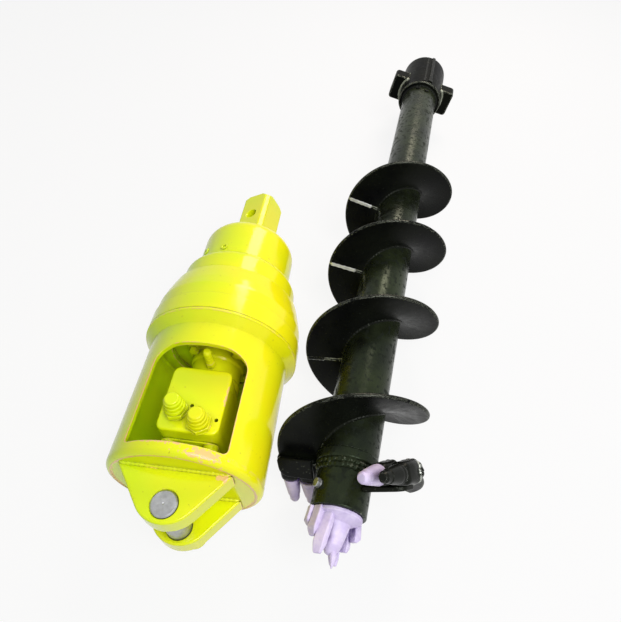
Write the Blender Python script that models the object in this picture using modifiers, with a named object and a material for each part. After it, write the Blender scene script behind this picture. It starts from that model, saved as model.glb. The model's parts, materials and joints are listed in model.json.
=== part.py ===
"""Earth auger drive with its auger laid beside it.

The drive is a hydraulic motor in a windowed bell, a two stage planetary gearbox and a square
output shaft. Metres, +Z up. The origin is the centre of the output shaft's end face, +Y points
out of the shaft, and the ground is at -axis_height.
"""
import bpy
import bmesh
from math import acos, atan2, cos, hypot, pi, radians, sin, sqrt, tan
from mathutils import Euler, Matrix, Vector

# Clearances
seat_gap = 0.0003
running_gap = 0.0006
mesh_backlash = 0.0005
holder_seat_gap = 0.0008

# Bell
axis_height = 0.150
bell_length = 0.268
bell_radius = 0.133
bell_wall = 0.010
bell_end_round = 0.010
bell_flange_step = 0.003
bell_flange_height = 0.006
bell_weld_height = 0.016
bell_inner_flange = 0.012
bell_inner_flange_radius = 0.096
end_plate_thickness = 0.020

# Window over the motor
window_width = 0.1636
window_top = 0.066
window_sill = 0.0214
window_top_round = 0.042
window_bottom_round = 0.008

# Hitch ears and pin
ear_gap = 0.076
ear_thickness = 0.040
ear_base_width = 0.184
ear_reach = 0.083
ear_tip_radius = 0.055
ear_edge_round = 0.003
pin_radius = 0.021
pin_to_end = 0.0537
pin_stand_proud = 0.002
keeper_thickness = 0.008
keeper_length = 0.082
keeper_width = 0.044
keeper_bolt_radius = 0.0065

# Gearbox casings
adapter_thickness = 0.036
housing_radius = 0.147
housing_straight = 0.027
housing_taper = 0.0137
housing_taper_length = 0.057
shoulder_radius = 0.1208
shoulder_length = 0.048
housing_wall = 0.0123
casing_edge = 0.0022
nose_radius = 0.101
nose_length = 0.1135
nose_wall = 0.013
nose_round = 0.034
seal_cover_radius = 0.060
seal_cover_height = 0.021

# Output shaft
journal_radius = 0.047
square_side = 0.075
square_length = 0.1245
journal_show = 0.0085
square_roll = 26.0
cross_hole_radius = 0.013
cross_hole_from_tip = 0.069
shaft_tip_taper = 0.008
shaft_tip_taper_depth = 0.005

# Planetary gears
module = 0.004
pressure_angle = 25.0
sun_teeth = 12
planet_teeth = 18
planet_count = 3
first_gear_width = 0.022
second_gear_width = 0.042
ring_rim = 0.0080
carrier_radius = 0.086
first_carrier_thickness = 0.009
second_carrier_thickness = 0.014
first_pin_radius = 0.010
second_pin_radius = 0.014
stage_gap = 0.0025
input_shaft_radius = 0.012

# Bearings in the nose
bearing_inner_wall = 0.013
bearing_width = 0.028
bearing_lip = 0.004
bearing_outer_wall = 0.011

# Oil plugs
oil_plug_radius = 0.0085
oil_plug_depth = 0.006
oil_plug_head = 0.0022

# Motor
motor_flange_side = 0.112
motor_flange_thickness = 0.020
motor_bolt_inset = 0.014
motor_bolt_radius = 0.0095
motor_bolt_height = 0.010
motor_body_radius = 0.051
motor_body_length = 0.065
motor_spigot_radius = 0.041
motor_spigot_height = 0.008
block_width = 0.106
motor_rear_room = 0.0205
block_top = 0.080
block_bottom = 0.053
block_round = 0.012
cover_thickness = 0.012
cover_side = 0.100
cover_bolt_inset = 0.013
cover_bolt_radius = 0.0110
cover_bolt_height = 0.0085
fitting_places = ((-0.025, 0.086), (0.020, 0.106))
fitting_hex = 0.0212
fitting_hex_height = 0.012
fitting_neck_radius = 0.0095
cap_radius = 0.0180
cap_top_radius = 0.0135
cap_rib_count = 3
cap_rib_depth = 0.0016
cap_height = 0.030
cap_wall = 0.0030
drain_radius = 0.0080
drain_height = 0.050
drain_from_joint = 0.058

# Auger
auger_right = 0.309
auger_forward = 0.198
auger_turn = 6.0
flight_radius = 0.1316
flight_thickness = 0.008
flight_pitch = 0.2189
flight_zero = 0.3916
flight_start = -90.0
flight_joints = (165.0, 531.0, 913.0)
flight_end = 1276.0
flight_joint_gap = 0.0012
tube_radius = 0.052
tube_wall = 0.008
tube_bottom = -0.3775
hub_radius = 0.067
hub_length = 0.171
hub_end = 1.032
hub_socket_room = 0.0115
hub_socket_gap = 0.0008
hub_seat_depth = 0.018
lug_reach = 0.0325
lug_width = 0.080
lug_depth = 0.044
lug_place = 0.042
lug_roll = 13.0
collar_radius = 0.0560
collar_height = 0.019
barrel_radius = 0.048
barrel_length = 0.078
barrel_wall = 0.008
wing_from = -24.0
wing_to = 35.0
wing_pitch = 0.100
wing_radius = 0.1330
wing_drop = 0.118
main_holder_radii = (0.0765, 0.1130)
wing_holder_radii = (0.0900, 0.1265)
holder_width = 0.0355
holder_depth = 0.038
holder_length = 0.042
holder_round = 0.009
tooth_dip = 30.0
tooth_radius = 0.0165
tooth_collar_radius = 0.0175
tooth_length = 0.054
tooth_shank_radius = 0.0095
tooth_shank_length = 0.028
bit_base_radius = 0.0425
bit_core_radius = 0.024
bit_length = 0.0830
finger_radii = (0.0430, 0.0370, 0.0280)
finger_reach = (0.030, 0.047, 0.071)
finger_width = 0.0200
finger_thickness = 0.0150
finger_from = 170.0
finger_step = 24.0
stair_turn = 155.0
bit_bolt_radius = 0.0085

# Values worked out from the sizes above
bell_bore = bell_radius - bell_wall
bell_flange_radius = housing_radius + bell_flange_step
window_length = bell_length - window_top - window_sill
pin_bore = pin_radius + seat_gap
adapter_front = adapter_thickness
housing_back = adapter_front + seat_gap
housing_taper_radius = housing_radius - housing_taper
taper_start = housing_back + housing_straight
step_face = taper_start + housing_taper_length
shoulder_face = step_face + shoulder_length
housing_bore = shoulder_radius - housing_wall
nose_back = shoulder_face + (shoulder_radius - nose_radius) + seat_gap
nose_face = nose_back + nose_length
nose_bore = nose_radius - nose_wall
seal_face = nose_face + seat_gap + seal_cover_height
square_start = seal_face + journal_show
shaft_tip = square_start + square_length
ring_teeth = sun_teeth + 2 * planet_teeth
gear_centres = module * (sun_teeth + planet_teeth) / 2
planet_ratio = ring_teeth / planet_teeth
ring_outer = housing_bore - seat_gap
first_gear_start = housing_back + stage_gap * 2
first_carrier_start = first_gear_start + first_gear_width + stage_gap
second_gear_start = first_carrier_start + first_carrier_thickness + stage_gap * 2
second_carrier_start = second_gear_start + second_gear_width + stage_gap
second_carrier_end = second_carrier_start + second_carrier_thickness
block_start = -(motor_flange_thickness + motor_body_length)
cover_room = cover_thickness + cover_bolt_height + motor_rear_room
block_length = bell_length - end_plate_thickness - cover_room + block_start
block_end = block_start - block_length
barrel_top = tube_bottom - 2 * seat_gap - collar_height
barrel_bottom = barrel_top - barrel_length
hub_start = hub_end - hub_length
hub_socket_depth = square_length + hub_socket_room
planet_angles = [90.0 + 360.0 * index / planet_count for index in range(planet_count)]

paint = (0.80, 1.0, 0.03, 1.0)
part_colours = {
    "paint": (paint, 0.35, 0.0),
    "bright_steel": ((0.62, 0.62, 0.64, 1.0), 0.35, 1.0),
    "gear_steel": ((0.42, 0.43, 0.45, 1.0), 0.40, 1.0),
    "bearing_steel": ((0.55, 0.56, 0.58, 1.0), 0.25, 1.0),
    "black_paint": ((0.015, 0.016, 0.014, 1.0), 0.30, 0.0),
    "tooth_steel": ((0.78, 0.73, 0.88, 1.0), 0.40, 1.0),
    "seal_rubber": ((0.03, 0.03, 0.03, 1.0), 0.70, 0.0),
}


def clear_scene():
    for item in list(bpy.data.objects):
        bpy.data.objects.remove(item, do_unlink=True)


def make_collection(name):
    group = bpy.data.collections.new(name)
    bpy.context.scene.collection.children.link(group)
    return group


def make_material(name, finish):
    colour, roughness, metallic = part_colours[finish]
    material = bpy.data.materials.new(name)
    material.use_nodes = True
    shader = material.node_tree.nodes["Principled BSDF"]
    shader.inputs["Base Color"].default_value = colour
    shader.inputs["Roughness"].default_value = roughness
    shader.inputs["Metallic"].default_value = metallic
    material.diffuse_color = colour
    return material


clear_scene()
parts = make_collection("earth_auger_drive")
cutters = make_collection("cutters")


def make_empty(name, location, rotation):
    empty = bpy.data.objects.new(name, None)
    empty.location = location
    empty.rotation_euler = rotation
    parts.objects.link(empty)
    return empty


def finish_part(item, finish, parent):
    item.data.materials.clear()
    item.data.materials.append(make_material(item.name, finish))
    item.parent = parent
    return item


def smooth(item, angle=35.0):
    item.data.shade_smooth()
    item.data.set_sharp_from_angle(angle=radians(angle))


def mesh_object(name, mesh, group=None):
    item = bpy.data.objects.new(name, mesh)
    (group or parts).objects.link(item)
    return item


def as_cutter(item, parent):
    for group in item.users_collection:
        group.objects.unlink(item)
    cutters.objects.link(item)
    item.hide_render = True
    item.display_type = "WIRE"
    item.parent = parent
    return item


def turned(name, profile, segments=48, closed=True):
    """A profile of (radius, height) points, outer side from top to bottom, turned about local Z."""
    mesh = bpy.data.meshes.new(name)
    form = bmesh.new()
    points = [form.verts.new((radius, 0.0, height)) for radius, height in profile]
    for first, second in zip(points, points[1:]):
        form.edges.new((first, second))
    if closed:
        form.edges.new((points[-1], points[0]))
    form.to_mesh(mesh)
    form.free()
    item = mesh_object(name, mesh)
    screw = item.modifiers.new("turn", "SCREW")
    screw.steps = segments
    screw.render_steps = segments
    screw.use_merge_vertices = True
    screw.merge_threshold = 0.00005
    screw.use_smooth_shade = True
    return item


def extruded(name, outlines, depth, group=None):
    """Flat outlines, the first one solid and the rest holes in it, given depth about local Z = 0."""
    curve = bpy.data.curves.new(name + "_outline", "CURVE")
    curve.dimensions = "2D"
    curve.fill_mode = "BOTH"
    curve.extrude = depth / 2
    for outline in outlines:
        spline = curve.splines.new("POLY")
        spline.points.add(len(outline) - 1)
        for point, (x, y) in zip(spline.points, outline):
            point.co = (x, y, 0.0, 1.0)
        spline.use_cyclic_u = True
    guide = mesh_object(name + "_guide", curve)
    bpy.context.view_layer.update()
    evaluated = guide.evaluated_get(bpy.context.evaluated_depsgraph_get())
    mesh = bpy.data.meshes.new_from_object(evaluated)
    mesh.name = name
    bpy.data.objects.remove(guide, do_unlink=True)
    form = bmesh.new()
    form.from_mesh(mesh)
    bmesh.ops.remove_doubles(form, verts=form.verts, dist=0.000001)
    bmesh.ops.recalc_face_normals(form, faces=form.faces)
    form.to_mesh(mesh)
    form.free()
    return mesh_object(name, mesh, group)


def cylinder(name, radius, low, high, segments=32, top_radius=None):
    mesh = bpy.data.meshes.new(name)
    form = bmesh.new()
    bmesh.ops.create_cone(form, cap_ends=True, segments=segments, radius1=radius,
                          radius2=radius if top_radius is None else top_radius, depth=high - low)
    bmesh.ops.translate(form, verts=form.verts, vec=(0.0, 0.0, (low + high) / 2))
    form.to_mesh(mesh)
    form.free()
    return mesh_object(name, mesh)


def block(name, size, centre=(0.0, 0.0, 0.0)):
    mesh = bpy.data.meshes.new(name)
    form = bmesh.new()
    bmesh.ops.create_cube(form, size=1.0)
    bmesh.ops.scale(form, verts=form.verts, vec=size)
    bmesh.ops.translate(form, verts=form.verts, vec=centre)
    form.to_mesh(mesh)
    form.free()
    return mesh_object(name, mesh)


def combine(item, other, operation="DIFFERENCE"):
    change = item.modifiers.new(operation.lower(), "BOOLEAN")
    change.operation = operation
    change.solver = "EXACT"
    change.object = other
    return item


def round_edges(item, width, segments=2, angle=40.0):
    bevel = item.modifiers.new("round", "BEVEL")
    bevel.width = width
    bevel.segments = segments
    bevel.limit_method = "ANGLE"
    bevel.angle_limit = radians(angle)
    return item


def add_bolts(item, name, radius, places, low, high, parent, sides=6):
    """Bolt heads on one face of a piece, grown into it."""
    for x, y in places:
        head = cylinder(name, radius, low, high, sides)
        head.location = (x, y, 0.0)
        combine(item, as_cutter(head, parent), "UNION")


def circle(radius, points, centre=(0.0, 0.0)):
    return [(centre[0] + radius * cos(2 * pi * step / points),
             centre[1] + radius * sin(2 * pi * step / points)) for step in range(points)]


def arc(centre, radius, first, last, steps):
    """Points on an arc from first to last, in degrees."""
    return [(centre[0] + radius * cos(radians(first + (last - first) * step / steps)),
             centre[1] + radius * sin(radians(first + (last - first) * step / steps)))
            for step in range(steps + 1)]


def rounded_rectangle(width, height, radius, steps=4, centre=(0.0, 0.0)):
    x = width / 2 - radius
    y = height / 2 - radius
    corners = ((x, y, 0), (-x, y, 90), (-x, -y, 180), (x, -y, 270))
    points = []
    for corner_x, corner_y, start in corners:
        points += arc((centre[0] + corner_x, centre[1] + corner_y), radius, start, start + 90, steps)
    return points


def around(radius, angle, along):
    """A place in an axis frame: angle in degrees from the right towards up, along the axis."""
    return Vector((radius * cos(radians(angle)), -radius * sin(radians(angle)), along))


def tooth_half_angle(teeth, radius, inside):
    """Half the angle that an involute tooth covers at a radius, thinned by the backlash."""
    pitch = module * teeth / 2
    base = pitch * cos(radians(pressure_angle))
    involute_pitch = tan(radians(pressure_angle)) - radians(pressure_angle)
    roll = acos(min(1.0, base / radius))
    involute = tan(roll) - roll
    half = pi / (2 * teeth)
    turn = involute_pitch - involute
    if inside:
        return half - turn - mesh_backlash / (2 * pitch)
    return half + turn - mesh_backlash / (2 * pitch)


def gear_outline(teeth, inside=False, phase=0.0):
    """Involute teeth on a circle; inside gives an internal gear, whose teeth point inwards."""
    pitch = module * teeth / 2
    base = pitch * cos(radians(pressure_angle))
    if inside:
        levels = (pitch + 0.95 * module, pitch, pitch - 0.75 * module)
    else:
        levels = (max(base, pitch - 0.95 * module), pitch, pitch + 0.75 * module)
    points = []
    for index in range(teeth):
        centre = phase + 2 * pi * index / teeth
        rising = [(level, centre - tooth_half_angle(teeth, level, inside)) for level in levels]
        falling = [(level, centre + tooth_half_angle(teeth, level, inside)) for level in reversed(levels)]
        foot = levels[0] if inside else pitch - 1.05 * module
        if not inside:
            rising[0] = (foot, rising[0][1] - 0.01)
            falling[-1] = (foot, falling[-1][1] + 0.01)
        points += [(radius * cos(angle), radius * sin(angle)) for radius, angle in rising + falling]
    return points


def make_bell(frame):
    """Bell tube with its flange, the window over the motor and the end plate."""
    flange = bell_flange_radius
    profile = [(flange - casing_edge, 0.0), (flange, -casing_edge), (flange, -bell_flange_height),
               (bell_radius, -bell_flange_height - bell_weld_height)]
    profile += [(x, z) for x, z in arc((bell_radius - bell_end_round, -bell_length + bell_end_round),
                                       bell_end_round, 0, -90, 4)]
    profile += [(bell_bore, -bell_length), (bell_bore, -bell_inner_flange),
                (bell_inner_flange_radius, -bell_inner_flange), (bell_inner_flange_radius, 0.0)]
    bell = turned("bell_housing", profile, 40)
    half = window_width / 2
    low = -window_top - window_length
    outline = arc((half - window_top_round, -window_top - window_top_round), window_top_round, 0, 90, 6)
    outline += arc((-half + window_top_round, -window_top - window_top_round), window_top_round, 90, 180, 6)
    outline += arc((-half + window_bottom_round, low + window_bottom_round), window_bottom_round, 180, 270, 3)
    outline += arc((half - window_bottom_round, low + window_bottom_round), window_bottom_round, 270, 360, 3)
    window = as_cutter(extruded("window_cutter", [outline], bell_radius), frame["drive_level"])
    window.location = (0.0, 0.0, bell_radius * 0.75)
    combine(bell, window)
    finish_part(bell, "paint", frame["drive_axis"])
    smooth(bell)
    plate_radius = bell_bore - seat_gap
    plate = turned("end_plate", [(0.0, -bell_length + end_plate_thickness),
                                 (plate_radius, -bell_length + end_plate_thickness),
                                 (plate_radius, -bell_length), (0.0, -bell_length)], 40, closed=False)
    finish_part(plate, "paint", frame["drive_axis"])


def ear_outline():
    """A wide base that narrows to a round tip, in the level frame."""
    base = -bell_length - seat_gap
    centre = -bell_length - ear_reach + ear_tip_radius
    half = ear_base_width / 2
    distance = hypot(half, base - centre)
    lean = atan2(base - centre, half) - acos(ear_tip_radius / distance)
    start = lean * 180.0 / pi
    points = [(half, base), (-half, base)]
    points += arc((0.0, centre), ear_tip_radius, 180.0 - start, 360.0 + start, 14)
    return points


def make_ears(frame):
    pin_y = -bell_length - pin_to_end
    for name, side in (("upper_ear", 1), ("lower_ear", -1)):
        ear = extruded(name, [ear_outline(), circle(pin_bore, 28, (0.0, pin_y))], ear_thickness)
        ear.location = (0.0, 0.0, side * (ear_gap + ear_thickness) / 2)
        round_edges(ear, ear_edge_round, 1)
        finish_part(ear, "paint", frame["drive_level"])
        smooth(ear)
    ear_face = ear_gap / 2 + ear_thickness
    chamfer = ear_edge_round
    top = ear_face + pin_stand_proud
    low = -ear_face
    pin = turned("hitch_pin", [(0.0, top), (pin_radius - chamfer, top), (pin_radius, top - chamfer),
                               (pin_radius, low + chamfer), (pin_radius - chamfer, low), (0.0, low)],
                 28, closed=False)
    pin.location = (0.0, pin_y, 0.0)
    finish_part(pin, "bright_steel", frame["drive_level"])
    straight = keeper_length / 2 - keeper_width / 2
    outline = arc((straight, 0.0), keeper_width / 2, -90, 90, 8)
    outline += arc((-straight, 0.0), keeper_width / 2, 90, 270, 8)
    keeper = extruded("pin_keeper_plate", [outline], keeper_thickness)
    keeper.location = (0.0, pin_y, -ear_face - seat_gap - keeper_thickness / 2)
    finish_part(keeper, "paint", frame["drive_level"])
    face = -ear_face - seat_gap - keeper_thickness
    places = ((-straight, pin_y), (0.0, pin_y), (straight, pin_y))
    add_bolts(keeper, "keeper_bolt_head", keeper_bolt_radius * 1.5, places,
              face - keeper_bolt_radius, face + 0.002, frame["drive_level"])


def make_casings(frame):
    """Adapter plate, gear housing, output housing and the seal cover on its face."""
    axis = frame["drive_axis"]
    edge = casing_edge
    spigot = motor_spigot_radius + seat_gap
    shaft_hole = input_shaft_radius + 0.010
    adapter = turned("adapter_plate", [
        (shaft_hole, adapter_front), (bell_flange_radius - edge, adapter_front),
        (bell_flange_radius, adapter_front - edge), (bell_flange_radius, seat_gap + edge),
        (bell_flange_radius - edge, seat_gap), (spigot, seat_gap),
        (spigot, motor_spigot_height + seat_gap), (shaft_hole, motor_spigot_height + seat_gap)], 40)
    finish_part(adapter, "paint", axis)
    round_radius = shoulder_radius - nose_radius
    shoulder = arc((shoulder_radius - round_radius, shoulder_face), round_radius, 90, 0, 4)
    drop = housing_radius - housing_taper_radius
    taper = [(housing_taper_radius + drop * (1 - (1 - share) ** 1.7), step_face - housing_taper_length * share)
             for share in (0.0, 0.25, 0.5, 0.75, 1.0)]
    profile = [(nose_bore + 0.004, nose_back - seat_gap)] + shoulder
    profile += [(shoulder_radius, step_face), (housing_taper_radius - edge, step_face)]
    profile += [(housing_taper_radius, step_face - edge)] + taper[1:]
    profile += [(housing_radius, housing_back + edge), (housing_radius - edge, housing_back)]
    profile += [(housing_bore, housing_back), (housing_bore, second_carrier_end + stage_gap)]
    profile += [(nose_bore + 0.004, second_carrier_end + stage_gap)]
    housing = turned("gear_housing", profile, 40)
    finish_part(housing, "paint", axis)
    seal_bore = journal_radius + 0.011
    nose = turned("output_housing", [
        (seal_bore, nose_face)] + arc((nose_radius - nose_round, nose_face - nose_round), nose_round, 90, 0, 5) + [
        (nose_radius, nose_back), (nose_bore, nose_back),
        (nose_bore, nose_face - nose_wall - edge), (seal_bore, nose_face - nose_wall - edge)], 40)
    for place in oil_plug_places():
        hole = cylinder("oil_plug_hole", oil_plug_radius + seat_gap, -oil_plug_depth, 0.02, 16)
        aim_radial(hole, place, nose_radius, axis)
        combine(nose, as_cutter(hole, axis))
    finish_part(nose, "paint", axis)
    cover_low = nose_face + seat_gap
    cover = turned("seal_cover", [
        (journal_radius + running_gap * 2, seal_face), (seal_cover_radius - edge, seal_face),
        (seal_cover_radius, seal_face - edge), (seal_cover_radius, cover_low),
        (journal_radius + running_gap * 2, cover_low)], 36)
    finish_part(cover, "paint", axis)
    seal = turned("shaft_seal", [
        (journal_radius + seat_gap, nose_face - 0.001), (seal_bore - seat_gap, nose_face - 0.001),
        (seal_bore - seat_gap, nose_face - nose_wall), (journal_radius + seat_gap, nose_face - nose_wall)], 40)
    finish_part(seal, "seal_rubber", axis)
    for name, place in zip(("oil_level_plug", "oil_filler_plug"), oil_plug_places()):
        plug = cylinder(name, oil_plug_radius, -oil_plug_depth + seat_gap, oil_plug_head, 8)
        aim_radial(plug, place, nose_radius, axis)
        finish_part(plug, "bright_steel", axis)


def oil_plug_places():
    """Angle and place along the axis of the level plug and the filling plug."""
    return ((139.0, nose_back + 0.026), (107.0, nose_back + 0.016))


def aim_radial(item, place, radius, parent):
    """Stand an item's local Z out of a casing at an angle and a place along the axis."""
    angle, along = place
    item.parent = parent
    item.location = around(radius, angle, along)
    outward = around(1.0, angle, 0.0)
    item.rotation_mode = "QUATERNION"
    item.rotation_quaternion = outward.to_track_quat("Z", "Y")


def make_gears(frame):
    """Two planetary stages: each sun, its planets and its ring, with the carriers between."""
    axis = frame["drive_axis"]
    half_tooth = pi / ring_teeth
    widths = {"first": (first_gear_start, first_gear_width), "second": (second_gear_start, second_gear_width)}
    pins = {"first": first_pin_radius, "second": second_pin_radius}
    upward = -pi / 2
    for stage, (start, width) in widths.items():
        ring = extruded(stage + "_ring_gear",
                        [circle(ring_outer, 40), gear_outline(ring_teeth, True, upward + half_tooth)], width)
        ring.location = (0.0, 0.0, start + width / 2)
        finish_part(ring, "gear_steel", axis)
        for letter, angle in zip("abc", planet_angles):
            planet = extruded(stage + "_planet_" + letter,
                              [gear_outline(planet_teeth, False, radians(-angle)),
                               circle(pins[stage] + seat_gap, 16)], width - 2 * seat_gap)
            planet.location = around(gear_centres, angle, start + width / 2)
            finish_part(planet, "gear_steel", axis)
    sun_phase = upward + pi / sun_teeth
    sun = extruded("sun_shaft", [gear_outline(sun_teeth, False, sun_phase)], first_gear_width)
    sun.location = (0.0, 0.0, first_gear_start + first_gear_width / 2)
    stem = cylinder("sun_shaft_stem", input_shaft_radius, block_start + 0.012, first_gear_start + 0.004, 20)
    combine(sun, as_cutter(stem, axis), "UNION")
    finish_part(sun, "gear_steel", axis)
    second_low = first_carrier_start + first_carrier_thickness + seat_gap
    second_high = second_gear_start + second_gear_width
    sun = extruded("second_sun_gear", [gear_outline(sun_teeth, False, sun_phase)], second_high - second_low)
    sun.location = (0.0, 0.0, (second_low + second_high) / 2)
    finish_part(sun, "gear_steel", axis)
    make_carrier("first_carrier", first_carrier_start, first_carrier_thickness, first_pin_radius,
                 first_gear_start + 2 * seat_gap, axis)
    make_carrier("second_carrier", second_carrier_start, second_carrier_thickness, second_pin_radius,
                 second_gear_start + 2 * seat_gap, axis)


def make_carrier(name, start, thickness, pin, pin_low, axis):
    """A carrier plate with the planets' pins standing on its back."""
    lobes = []
    for angle in planet_angles:
        lobes += arc((gear_centres * cos(radians(-angle)), gear_centres * sin(radians(-angle))),
                     carrier_radius - gear_centres, -angle + 70, -angle - 70, 6)
    carrier = extruded(name, [lobes], thickness)
    carrier.location = (0.0, 0.0, start + thickness / 2)
    for angle in planet_angles:
        stem = cylinder(name + "_pin", pin, pin_low - start - thickness / 2, 0.0, 16)
        stem.location = around(gear_centres, angle, start + thickness / 2)
        combine(carrier, as_cutter(stem, axis), "UNION")
    finish_part(carrier, "gear_steel", axis)


def make_shafts(frame):
    """Output shaft with its chamfered square and cross hole, the input shaft and the bearings."""
    axis = frame["drive_axis"]
    base = second_carrier_end + seat_gap
    bearing_seat = nose_back + 0.004
    shaft = turned("output_shaft", [
        (0.0, square_start), (journal_radius, square_start), (journal_radius, bearing_seat),
        (journal_radius + 0.012, bearing_seat), (journal_radius + 0.012, base), (0.0, base)], 32, closed=False)
    square = block("square_end", (square_side, square_side, 2 * square_length))
    square.location = (0.0, 0.0, shaft_tip - square_length)
    square.rotation_euler = Euler((0.0, 0.0, radians(-square_roll)))
    bar = turned("square_end_bar", [
        (0.0, shaft_tip), (journal_radius - shaft_tip_taper_depth, shaft_tip),
        (journal_radius, shaft_tip - shaft_tip_taper), (journal_radius, square_start - journal_show),
        (0.0, square_start - journal_show)], 48, closed=False)
    combine(bar, as_cutter(square, axis), "INTERSECT")
    square = bar
    combine(shaft, as_cutter(square, axis), "UNION")
    hole = cylinder("cross_hole", cross_hole_radius, -square_side, square_side, 20)
    hole.location = (0.0, 0.0, shaft_tip - cross_hole_from_tip)
    outward = around(1.0, square_roll + 90.0, 0.0)
    hole.rotation_mode = "QUATERNION"
    hole.rotation_quaternion = outward.to_track_quat("Z", "Y")
    combine(shaft, as_cutter(hole, axis))
    finish_part(shaft, "paint", axis)
    smooth(shaft)
    front_high = nose_face - nose_wall - 2 * casing_edge
    for name, low in (("rear", bearing_seat + seat_gap), ("front", front_high - bearing_width)):
        make_bearing(name, low, axis)


def make_bearing(name, low, axis):
    """A taper roller bearing: the outer race, and the inner race with its rollers' cone."""
    high = low + bearing_width
    bore = journal_radius + seat_gap
    cone = bore + bearing_inner_wall
    cup = nose_bore - seat_gap - bearing_outer_wall
    lean = bearing_lip if name == "rear" else -bearing_lip
    inner = turned(name + "_bearing_inner", [
        (bore, high), (cone + 0.006 - lean, high), (cone + 0.006 + lean, low), (bore, low)], 32)
    finish_part(inner, "bearing_steel", axis)
    outer = turned(name + "_bearing_outer", [
        (cup - lean, high), (nose_bore - seat_gap, high), (nose_bore - seat_gap, low), (cup + lean, low)], 32)
    finish_part(outer, "bearing_steel", axis)


def make_motor(frame):
    """Motor: round body on a square flange, port block, rear cover, bolts and fittings."""
    axis = frame["drive_axis"]
    level = frame["drive_level"]
    bore = input_shaft_radius + 0.002
    low = -motor_flange_thickness - motor_body_length
    body = turned("motor_body", [
        (bore, motor_spigot_height - seat_gap), (motor_spigot_radius, motor_spigot_height - seat_gap),
        (motor_spigot_radius, -seat_gap - 0.004), (motor_body_radius, -seat_gap - 0.004),
        (motor_body_radius, low + seat_gap), (bore, low + seat_gap)], 28)
    flange = extruded("motor_flange", [rounded_rectangle(motor_flange_side, motor_flange_side, 0.018, 4),
                                       circle(motor_body_radius - 0.012, 28)],
                      motor_flange_thickness - seat_gap)
    flange.location = (0.0, 0.0, -seat_gap - (motor_flange_thickness - seat_gap) / 2)
    combine(body, as_cutter(flange, axis), "UNION")
    place = motor_flange_side / 2 - motor_bolt_inset
    add_bolts(body, "motor_bolt_head", motor_bolt_radius, corner_places(place),
              -motor_flange_thickness - motor_bolt_height, -motor_flange_thickness + 0.002, axis)
    finish_part(body, "paint", axis)
    smooth(body)
    middle_y = (block_start + block_end) / 2
    port = extruded("port_block", [rounded_rectangle(block_width, block_length - seat_gap, block_round, 4)],
                    block_top + block_bottom)
    port.location = (0.0, middle_y, (block_top - block_bottom) / 2)
    round_edges(port, 0.0025, 2)
    finish_part(port, "paint", level)
    smooth(port)
    cover = extruded("rear_cover", [rounded_rectangle(cover_side, cover_side, 0.016, 3)], cover_thickness)
    cover.location = (0.0, 0.0, block_end - seat_gap - cover_thickness / 2)
    face = block_end - seat_gap - cover_thickness
    add_bolts(cover, "cover_bolt_head", cover_bolt_radius, corner_places(cover_side / 2 - cover_bolt_inset),
              face - cover_bolt_height, face + 0.002, axis)
    finish_part(cover, "paint", axis)
    for letter, (x, back) in zip("ab", fitting_places):
        make_port(letter, (x, block_start - back, block_top), level)
    make_drain(level)


def corner_places(reach):
    return [(side_x * reach, side_y * reach) for side_x in (-1, 1) for side_y in (-1, 1)]


def make_port(letter, place, level):
    """A hexagon port adapter on the block's face, under its ribbed cap."""
    neck_top = fitting_hex_height + cap_height - cap_wall - 0.003
    fitting = cylinder("port_fitting_" + letter, fitting_hex, 0.0, fitting_hex_height, 6)
    neck = cylinder("port_neck_" + letter, fitting_neck_radius, fitting_hex_height / 2, neck_top, 20)
    neck.location = Vector(place) + Vector((0.0, 0.0, seat_gap))
    fitting.location = Vector(place) + Vector((0.0, 0.0, seat_gap))
    combine(fitting, as_cutter(neck, level), "UNION")
    finish_part(fitting, "paint", level)
    ribs = []
    top = cap_height - 0.004
    rib_pitch = top / cap_rib_count
    widening = (cap_radius - cap_top_radius) / cap_rib_count
    for index in range(cap_rib_count):
        high = top - rib_pitch * index
        radius = cap_top_radius + widening * (index + 1)
        ribs += [(radius, high - rib_pitch * 0.4), (radius - cap_rib_depth, high - rib_pitch)]
    dome = [(cap_top_radius - 0.003, cap_height), (cap_top_radius - 0.0008, cap_height - 0.0015)]
    bore = fitting_neck_radius + seat_gap
    profile = [(0.0, cap_height)] + dome + ribs + [(bore, 0.0)]
    profile += [(bore, cap_height - cap_wall), (0.0, cap_height - cap_wall)]
    cap = turned("port_cap_" + letter, profile, 18, closed=False)
    cap.location = Vector(place) + Vector((0.0, 0.0, fitting_hex_height + 2 * seat_gap))
    finish_part(cap, "paint", level)


def make_drain(level):
    """Case drain fitting that stands on the motor's round body."""
    foot = motor_body_radius - 0.004
    profile = [(0.0, drain_height), (drain_radius * 0.7, drain_height), (drain_radius, drain_height - 0.004)]
    for index in range(3):
        high = drain_height - 0.010 - 0.009 * index
        profile += [(drain_radius, high), (drain_radius * 0.82, high - 0.002), (drain_radius, high - 0.004)]
    profile += [(drain_radius, -0.004), (0.0, -0.004)]
    drain = turned("drain_fitting", profile, 12, closed=False)
    drain.location = (0.0, -drain_from_joint, foot + 0.004)
    finish_part(drain, "paint", level)
    seat = cylinder("drain_seat", drain_radius + seat_gap, foot - seat_gap, bell_bore, 16)
    seat.location = (0.0, -drain_from_joint, 0.0)
    combine(bpy.data.objects["motor_body"], as_cutter(seat, level))


def flight_height(angle):
    """Place along the auger's axis of the flights' middle surface at an angle in degrees."""
    return flight_zero - flight_pitch * angle / 360.0


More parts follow.
